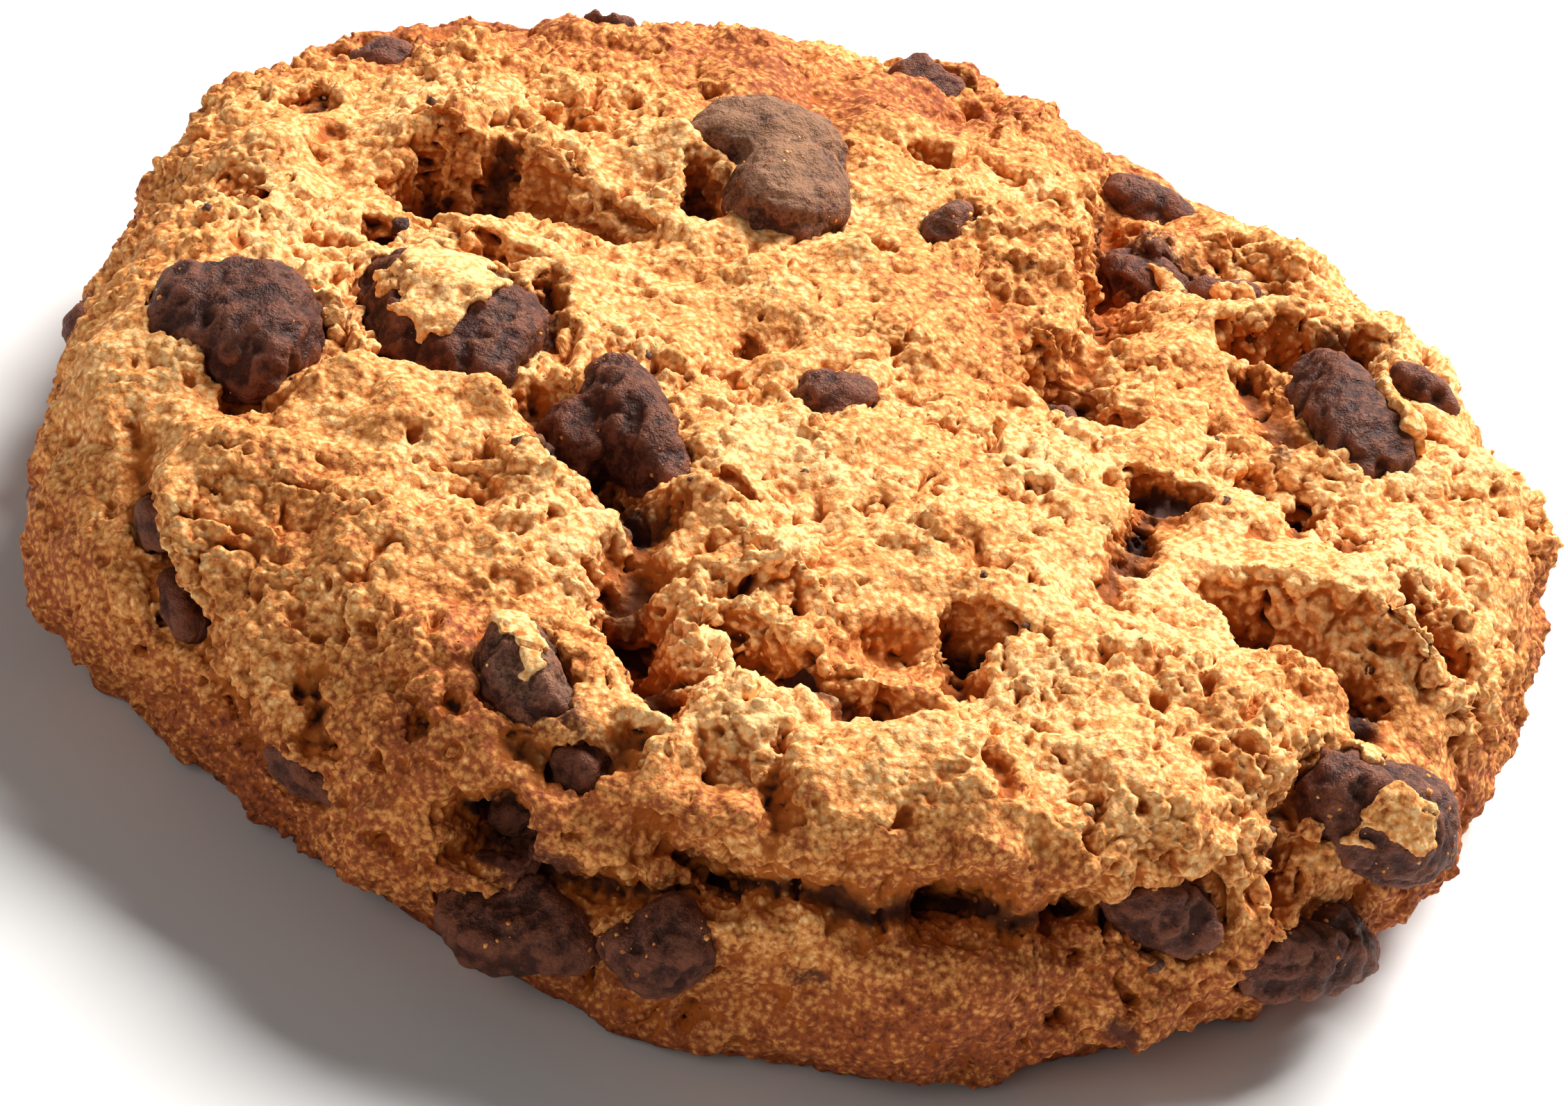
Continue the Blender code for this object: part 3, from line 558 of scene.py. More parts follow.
class Workbench:
    """Steps that every piece is made with."""

    @staticmethod
    def clear_selection() -> None:
        """Leave object mode with nothing selected."""
        if bpy.context.object and bpy.context.object.mode != "OBJECT":
            bpy.ops.object.mode_set(mode="OBJECT")
        bpy.ops.object.select_all(action="DESELECT")

    @classmethod
    def take(cls, obj: bpy.types.Object) -> None:
        """Make one object the only selected and active one.

        Args:
            obj: The object.
        """
        cls.clear_selection()
        obj.select_set(True)
        bpy.context.view_layer.objects.active = obj

    @classmethod
    def modify(cls, obj: bpy.types.Object, kind: str, **settings: object) -> None:
        """Add a modifier with its settings and apply it.

        Args:
            obj: The piece.
            kind: The modifier's type.
            settings: Its settings.
        """
        cls.take(obj)
        modifier = obj.modifiers.new(kind.lower(), kind)
        for name, value in settings.items():
            setattr(modifier, name, value)
        bpy.ops.object.modifier_apply(modifier=modifier.name)

    @classmethod
    def remesh(cls, obj: bpy.types.Object, size: float) -> None:
        """Rebuild a piece as one even skin with faces this many millimetres across."""
        cls.modify(obj, "REMESH", mode="VOXEL", voxel_size=size * MM, adaptivity=0.0)

    @classmethod
    def thin_out(cls, obj: bpy.types.Object, faces: int) -> None:
        """Bring a piece under a count of triangles.

        Args:
            obj: The piece.
            faces: The most triangles it may have.
        """
        have = sum(len(polygon.vertices) - 2 for polygon in obj.data.polygons)
        if have > faces:
            cls.modify(obj, "DECIMATE", ratio=faces / have, use_collapse_triangulate=True)

    @staticmethod
    def read(items: bpy.types.bpy_prop_collection, name: str, width: int, kind: type = float) -> Array:
        """Read one property of all items, as rows of `width` numbers.

        Args:
            items: The mesh's vertices, edges or the like.
            name: The property.
            width: How many numbers an item has.
            kind: The numbers' type.

        Returns:
            One row for each item.
        """
        flat = np.empty(len(items) * width, kind)
        items.foreach_get(name, flat)
        return flat.reshape(-1, width)

    @staticmethod
    def add(name: str, mesh: bpy.types.Mesh) -> bpy.types.Object:
        """Put a mesh into the scene as an object.

        Args:
            name: The object's name.
            mesh: Its mesh.

        Returns:
            The object.
        """
        obj = bpy.data.objects.new(name, mesh)
        bpy.context.scene.collection.objects.link(obj)
        return obj

    @classmethod
    def points(cls, mesh: bpy.types.Mesh) -> Array:
        """The mesh's vertices in millimetres."""
        return cls.read(mesh.vertices, "co", 3) / MM

    @staticmethod
    def place(mesh: bpy.types.Mesh, points: Array) -> None:
        """Move the mesh's vertices to places in millimetres."""
        mesh.vertices.foreach_set("co", (points * MM).ravel())
        mesh.update()

    @classmethod
    def normals(cls, mesh: bpy.types.Mesh) -> Array:
        """The mesh's outward directions at its vertices."""
        return cls.read(mesh.vertex_normals, "vector", 3)

    @classmethod
    def edges(cls, mesh: bpy.types.Mesh) -> Array:
        """The mesh's edges as pairs of vertex numbers."""
        return cls.read(mesh.edges, "vertices", 2, np.int32)

    @staticmethod
    def relaxed(points: Array, edges: Array, rounds: int) -> Array:
        """Points pulled towards the mean of their neighbours, a number of times.

        Args:
            points: One row for each vertex.
            edges: Pairs of vertex numbers.
            rounds: How often they are pulled.

        Returns:
            The new rows.
        """
        count = len(points)
        linked = np.maximum(np.bincount(edges.ravel(), minlength=count), 1)[:, None]
        for _ in range(rounds):
            total = np.stack([
                np.bincount(edges[:, 0], points[edges[:, 1], axis], count)
                + np.bincount(edges[:, 1], points[edges[:, 0], axis], count)
                for axis in range(points.shape[1])
            ], 1)
            points = 0.5 * points + 0.5 * total / linked
        return points

    @staticmethod
    def record(mesh: bpy.types.Mesh, name: str, values: Array) -> None:
        """Store a number for each vertex, for the finish to read."""
        attribute = mesh.attributes.new(name, "FLOAT", "POINT")
        attribute.data.foreach_set("value", values.astype(np.float32))

    @classmethod
    def record_pits(cls, mesh: bpy.types.Mesh, near_rounds: int, far_rounds: int) -> None:
        """Store how far each place lies under its close and its wider surroundings.

        Args:
            mesh: The mesh.
            near_rounds: Rounds that give the close surroundings.
            far_rounds: More rounds, for the wider ones.
        """
        points = cls.points(mesh)
        edges = cls.edges(mesh)
        normals = cls.normals(mesh)
        near = cls.relaxed(points, edges, near_rounds)
        far = cls.relaxed(near, edges, far_rounds)
        soft = cls.relaxed(normals, edges, near_rounds)
        cls.record(mesh, "fine_pit", ((near - points) * normals).sum(1))
        cls.record(mesh, "broad_pit", ((far - near) * soft).sum(1))

    @classmethod
    def delete_vertices(cls, obj: bpy.types.Object, gone: Array) -> None:
        """Delete the vertices that are marked.

        Args:
            obj: The piece.
            gone: True for each vertex to delete.
        """
        cls.take(obj)
        bpy.ops.object.mode_set(mode="EDIT")
        bpy.ops.mesh.select_mode(type="VERT")
        bpy.ops.mesh.select_all(action="DESELECT")
        bpy.ops.object.mode_set(mode="OBJECT")
        obj.data.vertices.foreach_set("select", gone)
        bpy.ops.object.mode_set(mode="EDIT")
        bpy.ops.mesh.delete(type="VERT")
        bpy.ops.object.mode_set(mode="OBJECT")

    @classmethod
    def hand_over(cls, obj: bpy.types.Object, finish: bpy.types.Material, slot: str, *nodes: str) -> None:
        """Give a finished piece its finish and its body, and hide the solids of the nodes that it stands for.

        Args:
            obj: The piece.
            finish: Its material.
            slot: Not used.
            nodes: The nodes that it stands for.
        """
        cls.take(obj)
        bpy.ops.object.shade_smooth()
        obj.data.materials.clear()
        obj.data.materials.append(finish)
        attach(obj, ROOT_BODY)
        if nodes:
            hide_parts(*nodes)
        log.info("%s: %d faces", obj.name, len(obj.data.polygons))


class Value:
    """A socket that Python's operators add Math nodes to."""

    def __init__(self, shader: "Shader", socket: bpy.types.NodeSocket) -> None:
        """Wrap an output socket of a shader's node."""
        self.shader = shader
        self.socket = socket

    def maths(self, operation: str, first: object, second: object = 0.0) -> "Value":
        """Add one Math node."""
        return self.shader.node("ShaderNodeMath", {"operation": operation}, {0: first, 1: second})

    def __add__(self, other: object) -> "Value":
        """Sum."""
        return self.maths("ADD", self, other)

    __radd__ = __add__

    def __sub__(self, other: object) -> "Value":
        """Difference."""
        return self.maths("SUBTRACT", self, other)

    def __rsub__(self, other: object) -> "Value":
        """Difference, from a number."""
        return self.maths("SUBTRACT", other, self)

    def __mul__(self, other: object) -> "Value":
        """Product."""
        return self.maths("MULTIPLY", self, other)

    __rmul__ = __mul__

    def within(self, low: float, high: float) -> "Value":
        """Ease from 0 at low to 1 at high."""
        return self.shader.node(
            "ShaderNodeMapRange", {"interpolation_type": "SMOOTHSTEP"}, {0: self, 1: low, 2: high}
        )


class Shader:
    """A material's node tree, with one method that adds any node."""

    def __init__(self, name: str) -> None:
        """Start a material with a Principled shader.

        Args:
            name: The material's name.
        """
        self.material = bpy.data.materials.new(name)
        self.material.use_nodes = True
        self.tree = self.material.node_tree
        self.principled = self.tree.nodes["Principled BSDF"]
        self.places = self.node("ShaderNodeTexCoord", {}, {}, "Object")

    def node(self, kind: str, settings: dict, inputs: dict, output: object = 0) -> Value:
        """Add a node.

        Args:
            kind: The node's type.
            settings: Its own settings, such as an operation.
            inputs: Values or links of its sockets, by number or name.
            output: The socket to return.

        Returns:
            The output socket, wrapped.
        """
        node = self.tree.nodes.new(kind)
        for name, value in settings.items():
            setattr(node, name, value)
        for name, value in inputs.items():
            if isinstance(value, Value):
                self.tree.links.new(value.socket, node.inputs[name])
            else:
                node.inputs[name].default_value = value
        return Value(self, node.outputs[output])

    def attribute(self, name: str) -> Value:
        """Read a number stored on the mesh."""
        return self.node("ShaderNodeAttribute", {"attribute_name": name}, {}, "Fac")

    def noise(self, size: float, detail: float, roughness: float) -> Value:
        """Noise from 0 to 1 with lumps about `size` millimetres across."""
        return self.node("ShaderNodeTexNoise", {}, {
            "Vector": self.places, "Scale": 1.0 / (size * MM), "Detail": detail, "Roughness": roughness,
        })

    def cells(self, size: float) -> Value:
        """Distance from cell middles, for cells about `size` millimetres across."""
        return self.node("ShaderNodeTexVoronoi", {"feature": "F1"}, {
            "Vector": self.places, "Scale": 1.0 / (size * MM),
        }, "Distance")

    def mix(self, factor: object, first: object, second: object) -> Value:
        """Blend two colours."""
        return self.node("ShaderNodeMix", {"data_type": "RGBA"}, {0: factor, 6: first, 7: second}, 2)

    def feed(self, **sockets: object) -> None:
        """Set or link the Principled shader's sockets, named with underscores for spaces.

        Args:
            sockets: Values or links, by the socket's name.
        """
        for name, value in sockets.items():
            socket = self.principled.inputs[name.replace("_", " ")]
            if isinstance(value, Value):
                self.tree.links.new(value.socket, socket)
            else:
                socket.default_value = value

    def bump(self, height: Value, distance: float, strength: float) -> Value:
        """A normal from a height, whose full swing is `distance` millimetres."""
        return self.node("ShaderNodeBump", {}, {
            "Height": height, "Distance": distance * MM, "Strength": strength,
        })


@dataclass(frozen=True)
class BakedDough:
    """Matt golden crumb: pale where raised, with painted shade from orange-brown to near black in cracks,
    pits and on steep walls, and browner on the sides from baking and partly from painted shade.
    """

    pale: tuple = linear(255, 206, 142)
    golden: tuple = linear(226, 150, 78)
    brown: tuple = linear(162, 82, 40)
    burnt: tuple = linear(104, 48, 24)
    # Painted shade: crack stands for the warm light caught in shaded cracks, and the next colour for the
    # darkness of deep pits.
    crack: tuple = linear(176, 92, 26)
    painted_deep_shade: tuple = linear(54, 21, 8)
    chocolate: tuple = linear(96, 52, 36)
    roughness: float = 0.78

    def build(self, name: str) -> bpy.types.Material:
        """Make the material.

        Args:
            name: The material's name.

        Returns:
            The material.
        """
        shader = Shader(name)
        fine_pit = shader.attribute("fine_pit")
        broad_pit = shader.attribute("broad_pit")
        mottle = shader.noise(2.4, 4.0, 0.6)
        speckle = shader.noise(0.3, 3.0, 0.65)
        grain = shader.cells(0.42)
        uneven = (mottle - 0.5) * 1.3 + (speckle - 0.5) * 2.2 + (grain - 0.45) * 1.2
        # The browning attribute holds baked browning and painted shade on the lower sides, cliff faces and
        # crack walls.
        tone = shader.attribute("browning_and_shade") + uneven
        colour = shader.mix(tone.within(-0.35, 0.45), self.pale, self.golden)
        colour = shader.mix(tone.within(0.35, 1.15), colour, self.brown)
        colour = shader.mix(tone.within(1.05, 1.9), colour, self.burnt)
        # Painted shade: places under their surroundings, the listed cracks and pits, and steep walls turn
        # orange-brown, and the deepest turn near black.
        hollow = shader.attribute("hollow") + (mottle - 0.5) * 1.4
        cavity_shade = fine_pit * 4.4 + broad_pit * 0.8 + (grain - 0.5) * 0.7 + hollow.within(0.3, 1.6) * 0.7
        cavity_shade = cavity_shade + shader.attribute("broken").within(0.1, 0.6) * 0.45
        colour = shader.mix(cavity_shade.within(0.05, 1.0), colour, self.crack)
        colour = shader.mix(cavity_shade.within(1.0, 2.3), colour, self.painted_deep_shade)
        colour = shader.mix(hollow.within(1.3, 3.5), colour, self.painted_deep_shade)
        smear = shader.attribute("smeared") + (mottle - 0.5) * 0.9 + (speckle - 0.5) * 0.5
        colour = shader.mix(smear.within(0.3, 0.75), colour, self.chocolate)
        height = speckle * 0.9 - grain * 0.8 - shader.cells(0.8) * 0.5
        shader.feed(
            Base_Color=colour, Roughness=self.roughness, IOR=1.4, Specular_IOR_Level=0.3,
            Normal=shader.bump(height, 0.09, 1.0),
        )
        return shader.material


@dataclass(frozen=True)
class DarkChocolate:
    """Dull dark chocolate, worn paler on its ridges, with pale bloom and dust."""

    body: tuple = linear(64, 30, 20)
    worn: tuple = linear(126, 72, 50)
    bloom: tuple = linear(156, 114, 86)

    def build(self, name: str) -> bpy.types.Material:
        """Make the material.

        Args:
            name: The material's name.

        Returns:
            The material.
        """
        shader = Shader(name)
        mottle = shader.noise(1.6, 5.0, 0.65)
        fleck = shader.noise(0.25, 3.0, 0.7)
        worn = (mottle * 1.2 + fleck * 1.2 + shader.attribute("ridge") * 1.3 - 1.1).within(-0.1, 0.7)
        colour = shader.mix(worn, self.body, self.worn)
        dusty = shader.attribute("dust") + (mottle - 0.5) * 1.1 + (fleck - 0.5) * 1.1
        dusty = dusty.within(0.2, 0.9)
        colour = shader.mix(dusty, colour, self.bloom)
        height = mottle * 0.8 + fleck * 0.9 - shader.cells(0.7) * 0.4
        shader.feed(
            Base_Color=colour, Roughness=0.46 + mottle * 0.2 + dusty * 0.3, IOR=1.46,
            Specular_IOR_Level=0.28, Normal=shader.bump(height, 0.26, 1.0),
        )
        return shader.material


class Crumb(Enum):
    """Kinds of loose bits."""

    FINE = "fine"
    MEDIUM = "medium"
    COARSE = "coarse"
    STUCK = "stuck"
    FLECKS = "flecks"


class Spread(Enum):
    """Where loose bits gather."""

    BROKEN = "where the dough is crumbly"
    CLUMPS = "in clumps"
    EVEN = "all over"


@dataclass(frozen=True)
class Stain(Oval):
    """A soft-edged mark on the unrolled crust, used for melted chocolate and for browner patches that are
    partly baked browning and partly painted shade.
    """

    strength: float

    def cover(self, u: Array, v: Array) -> Array:
        """How strong the mark is at places, from 0 to its full strength."""
        return self.strength * np.exp(-self.spread(u, v))


SMEARS = (
    Stain(16.5, 21.4, 4.6, 3.2, -20.0, 0.9),
    Stain(20.6, 19.4, 3.4, 2.2, 10.0, 0.85),
    Stain(26.6, -40.4, 2.2, 1.3, 10.0, 0.7),
    Stain(7.6, -45.2, 2.4, 1.0, 0.0, 0.65),
    Stain(-9.0, -41.6, 4.2, 2.8, -20.0, 0.8),
    Stain(-8.0, -34.5, 2.2, 4.0, 20.0, 0.55),
    Stain(28.5, -27.0, 3.2, 2.6, 0.0, 0.5),
    Stain(-31.0, -25.6, 1.5, 4.4, 25.0, 0.6),
    Stain(-24.2, -6.8, 1.2, 3.0, 0.0, 0.5),
    Stain(-8.2, 12.6, 1.6, 4.0, 0.0, 0.5),
    Stain(-22.0, -37.4, 2.6, 1.2, -40.0, 0.6),
    Stain(24.0, 3.0, 1.6, 1.1, 30.0, 0.5),
)

# Browner patches: baked browning, and painted shade on cliff faces, crack walls and hollows.
BROWNING_AND_SHADE_PATCHES = (
    Stain(13.6, 20.5, 7.5, 1.6, 90.0, 0.7),
    Stain(8.0, 13.0, 10.0, 5.5, 80.0, 0.35),
    Stain(-6.0, 29.0, 24.0, 9.0, 6.0, 0.72),
    Stain(-34.0, -4.0, 4.0, 12.0, 0.0, 0.3),
    Stain(11.0, 7.4, 1.6, 3.0, 0.0, 0.4),
    Stain(-24.5, -23.5, 9.0, 6.0, -40.0, 0.6),
    Stain(-14.0, -32.0, 7.0, 6.0, 0.0, 0.6),
    Stain(6.0, -37.0, 18.0, 3.2, 4.0, 0.55),
    Stain(24.0, 9.0, 2.0, 4.5, -20.0, 0.45),
    Stain(18.0, -5.5, 2.4, 4.0, 0.0, 0.5),
    Stain(-3.5, -20.5, 2.0, 6.0, 0.0, 0.4),
    Stain(5.0, -24.5, 6.0, 2.0, -10.0, 0.4),
    Stain(-20.0, 11.0, 9.0, 3.0, 8.0, 0.35),
    Stain(28.0, -15.5, 5.0, 2.6, -25.0, 0.45),
)


@dataclass
class Crust:
    """The dough's whole outside, from the domed top to the flat base, in closed wedges."""

    pill: Pill = field(default_factory=Pill)
    noise: Noise = field(default_factory=lambda: Noise(11))
    fine_noise: Noise = field(default_factory=lambda: Noise(23))
    crumb: CrumbRelief = field(default_factory=lambda: CrumbRelief(5))
    base_voxel: float = 0.5
    grain_voxel: float = 0.21
    wedges: int = 4
    wedge_faces: int = 190000
    shift: tuple = ((0.6, 3.4), (0.45, 1.3), (0.22, 0.6))
    lumps: tuple = ((0.9, 7.5), (0.9, 3.9), (0.5, 2.2), (0.28, 1.2))
    base_band: float = 0.6
    chunk_rim: float = 0.5
    chunk_clearance: float = 0.9
    probe_height: float = 9.0
    probe_length: float = 16.0
    first_cut: float = 87.0

    def rough_out(self) -> bpy.types.Object:
        """A cylinder with a rounded shoulder and foot, evenly meshed.

        Returns:
            The crust before it is sculpted.
        """
        Workbench.clear_selection()
        height = (self.pill.rim_height + self.pill.dome) * MM
        bpy.ops.mesh.primitive_cylinder_add(
            vertices=120, radius=self.pill.radius * MM, depth=height, location=(0.0, 0.0, height / 2)
        )
        obj = bpy.context.object
        obj.name = "crust"
        bpy.ops.object.transform_apply(location=True)
        self.round_edge(obj, height, self.pill.shoulder)
        self.round_edge(obj, 0.0, self.pill.foot)
        points = Workbench.points(obj.data)
        share = self.pill.reach(np.arctan2(points[:, 1], points[:, 0]))
        points[:, :2] *= share[:, None]
        Workbench.place(obj.data, points)
        Workbench.remesh(obj, self.base_voxel)
        return obj

    def round_edge(self, obj: bpy.types.Object, level: float, width: float) -> None:
        """Bevel the ring of edges at a height.

        Args:
            obj: The cylinder.
            level: The height in metres.
            width: The bevel's width in millimetres.
        """
        Workbench.take(obj)
        bpy.ops.object.mode_set(mode="EDIT")
        bpy.ops.mesh.select_all(action="DESELECT")
        bpy.ops.object.mode_set(mode="OBJECT")
        for edge in obj.data.edges:
            ends = [obj.data.vertices[index].co for index in edge.vertices]
            flat = all(abs(end.z - level) < 1e-6 for end in ends)
            edge.select = flat and all(end.xy.length > 0.5 * self.pill.radius * MM for end in ends)
        bpy.ops.object.mode_set(mode="EDIT")
        bpy.ops.mesh.select_mode(type="EDGE")
        bpy.ops.mesh.bevel(offset=width * MM, segments=10, profile=0.5)
        bpy.ops.object.mode_set(mode="OBJECT")

    def shifted(self, points: Array, u: Array, v: Array) -> tuple[Array, Array]:
        """Places moved about a little, so that no feature keeps a clean outline.

        Args:
            points: The places in space, in millimetres.
            u: Their first coordinate.
            v: Their second coordinate.

        Returns:
            The two coordinates after the move.
        """
        for reach, size in self.shift:
            u = u + reach * self.noise(points, size)
            v = v + reach * self.noise(points + 50.0, size)
        return u, v

    def hollows(self, u: Array, v: Array) -> Array:
        """Height of the cracks and pits at shifted places, zero or less.

        Args:
            u: Their first coordinate.
            v: Their second coordinate.

        Returns:
            The height in millimetres.
        """
        sunk = np.zeros(len(u))
        for feature in CLEFTS + PITS:
            sunk = np.minimum(sunk, feature.relief(u, v))
        return sunk

    def relief(self, points: Array, u: Array, v: Array) -> Array:
        """Height of the crust over the pill, in millimetres.

        Args:
            points: Places on the pill, in millimetres.
            u: Their first coordinate.
            v: Their second coordinate.

        Returns:
            The height at each place.
        """
        u, v = self.shifted(points, u, v)
        ragged = np.clip(1.0 + 1.4 * self.noise(points + 80.0, 3.2), 0.45, 1.25)
        height = self.hollows(u, v) * ragged
        for feature in SWELLS:
            height += feature.relief(u, v)
        for feature in LIPS:
            height += feature.relief(u, v) * ragged
        for tall, size in self.lumps:
            height += tall * self.noise(points + 9.0 * size, size)
        return height

    def press_chunks(self, base: Array, normals: Array, height: Array) -> Array:
        """Lower the dough where it would cover a chunk's top.

        Args:
            base: Points on the pill, in millimetres.
            normals: The pill's outward directions there.
            height: The dough's height over the pill there.

        Returns:
            The new height.
        """
        height = height.copy()
        ragged = 0.35 * self.fine_noise(base, 1.3) + 0.2 * self.fine_noise(base + 15.0, 0.6)
        for name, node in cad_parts.items():
            if name == "dough":
                continue
            corners = Workbench.points(node.data)
            middle = corners.mean(0)
            reach = np.linalg.norm(corners - middle, axis=1).max() + 2.0
            near = np.nonzero(np.linalg.norm(base + normals * height[:, None] - middle, axis=1) < reach)[0]
            mesh = bmesh.new()
            mesh.from_mesh(node.data)
            tree = BVHTree.FromBMesh(mesh)
            mesh.free()
            for index in near:
                outside = Vector(base[index] + normals[index] * self.probe_height) * MM
                inward = Vector(-normals[index])
                hit, _, _, distance = tree.ray_cast(outside, inward, self.probe_length * MM)
                if hit is not None:
                    top = self.probe_height - distance / MM
                    if top > height[index] - self.chunk_rim + ragged[index]:
                        height[index] = min(height[index], top - self.chunk_clearance)
        return height

    def sculpt(self, obj: bpy.types.Object) -> None:
        """Raise the lobes, open the cracks and leave room for the chunks.

        Args:
            obj: The roughed-out crust.
        """
        u, v = self.pill.unroll(Workbench.points(obj.data))
        base, normals = self.pill.surface(u, v)
        height = self.relief(base, u, v) * smooth_step(base[:, 2], 0.0, self.base_band)
        height = self.press_chunks(base, normals, height)
        points = base + normals * height[:, None]
        points[:, 2] = np.maximum(points[:, 2], 0.0)
        Workbench.place(obj.data, points)
        Workbench.remesh(obj, self.grain_voxel)

    def add_crumb(self, obj: bpy.types.Object) -> None:
        """Raise the grains, sink the pores and open the short cracks.

        Args:
            obj: The sculpted crust.
        """
        points = Workbench.points(obj.data)
        normals = Workbench.normals(obj.data)
        u, v = self.pill.unroll(points)
        _, outward = self.pill.surface(u, v)
        soft = Workbench.relaxed(normals, Workbench.edges(obj.data), 6)
        soft /= np.linalg.norm(soft, axis=1)[:, None]
        steep = smooth_step(1.0 - (soft * outward).sum(1), 0.15, 0.6)
        coarse = np.maximum(self.crumb.coarseness(points), steep)
        height = self.crumb.height(points, coarse)
        under = smooth_step(points[:, 2], 0.05, 1.2)
        height = height * under + (1.0 - under) * np.minimum(0.0, 0.5 * height)
        moved = points + soft * height[:, None]
        moved = 0.6 * moved + 0.4 * Workbench.relaxed(moved, Workbench.edges(obj.data), 1)
        moved[:, 2] = np.where(points[:, 2] < 0.01, 0.0, np.maximum(moved[:, 2], 0.0))
        Workbench.place(obj.data, moved)

    def record_wear(self, obj: bpy.types.Object) -> None:
        """Store how sunk, how browned and shaded, how steep and how smeared with chocolate each place is; the
        finish paints shade on sunk and steep places.

        Args:
            obj: The finished crust.
        """
        mesh = obj.data
        Workbench.record_pits(mesh, 7, 160)
        points = Workbench.points(mesh)
        # Browner towards the bottom: baked browning, and partly painted shade on the shaded sides.
        side = 1.0 - smooth_step(points[:, 2], 3.0, 17.0)
        patches = self.fine_noise(points + 40.0, 9.0) + 0.5 * self.fine_noise(points + 55.0, 4.0)
        smooth = 1.0 - self.crumb.coarseness(points)
        browning_and_shade = 0.97 * side + 0.3 * patches + 0.15 * smooth
        browning_and_shade += 0.4 * (1.0 - smooth_step(points[:, 2], 0.1, 1.5))
        u, v = self.pill.unroll(points)
        base, outward = self.pill.surface(u, v)
        # The browner patches add baked browning and painted shade on cliff faces, crack walls and hollows.
        patch_browning_and_shade = np.zeros(len(points))
        smeared = np.zeros(len(points))
        for patch in BROWNING_AND_SHADE_PATCHES:
            patch_browning_and_shade = np.maximum(patch_browning_and_shade, patch.cover(u, v))
        for patch in SMEARS:
            smeared = np.maximum(smeared, patch.cover(u, v))
        soft = Workbench.relaxed(Workbench.normals(mesh), Workbench.edges(mesh), 12)
        Workbench.record(mesh, "browning_and_shade", browning_and_shade + patch_browning_and_shade)
        Workbench.record(mesh, "smeared", smeared)
        # Steepness and the depth of the listed cracks and pits, which the finish turns into painted shade.
        Workbench.record(mesh, "broken", 1.0 - (soft * outward).sum(1))
        Workbench.record(mesh, "hollow", -self.hollows(*self.shifted(base, u, v)))

    def cut_wedge(self, whole: bpy.types.Object, number: int) -> bpy.types.Object:
        """Copy the crust and keep one closed wedge of it.

        Args:
            whole: The finished crust.
            number: Which wedge to keep.

        Returns:
            The wedge.
        """
        wedge = Workbench.add(f"crust_wedge_{number + 1}", whole.data.copy())
        Workbench.take(wedge)
        start = math.radians(self.first_cut) + math.tau * number / self.wedges
        sides = ((start, 1.0), (start + math.tau / self.wedges, -1.0))
        for angle, sign in sides:
            bpy.ops.object.mode_set(mode="EDIT")
            bpy.ops.mesh.select_all(action="SELECT")
            normal = (-sign * math.sin(angle), sign * math.cos(angle), 0.0)
            bpy.ops.mesh.bisect(plane_co=(0.0, 0.0, 0.0), plane_no=normal, use_fill=True, clear_inner=True,
                                threshold=1e-7)
            bpy.ops.mesh.region_to_loop()
            bpy.ops.mesh.mark_sharp()
            bpy.ops.object.mode_set(mode="OBJECT")
        return wedge

    def build(self, finish: bpy.types.Material) -> bpy.types.Object:
        """Make and dress the crust.

        Args:
            finish: The dough's material.

        Returns:
            The whole crust, hidden from the render, for loose crumbs to lie on.
        """
        whole = self.rough_out()
        self.sculpt(whole)
        self.add_crumb(whole)
        Workbench.thin_out(whole, self.wedges * self.wedge_faces)
        self.record_wear(whole)
        for number in range(self.wedges):
            Workbench.hand_over(self.cut_wedge(whole, number), finish, "dough", "dough")
        return whole


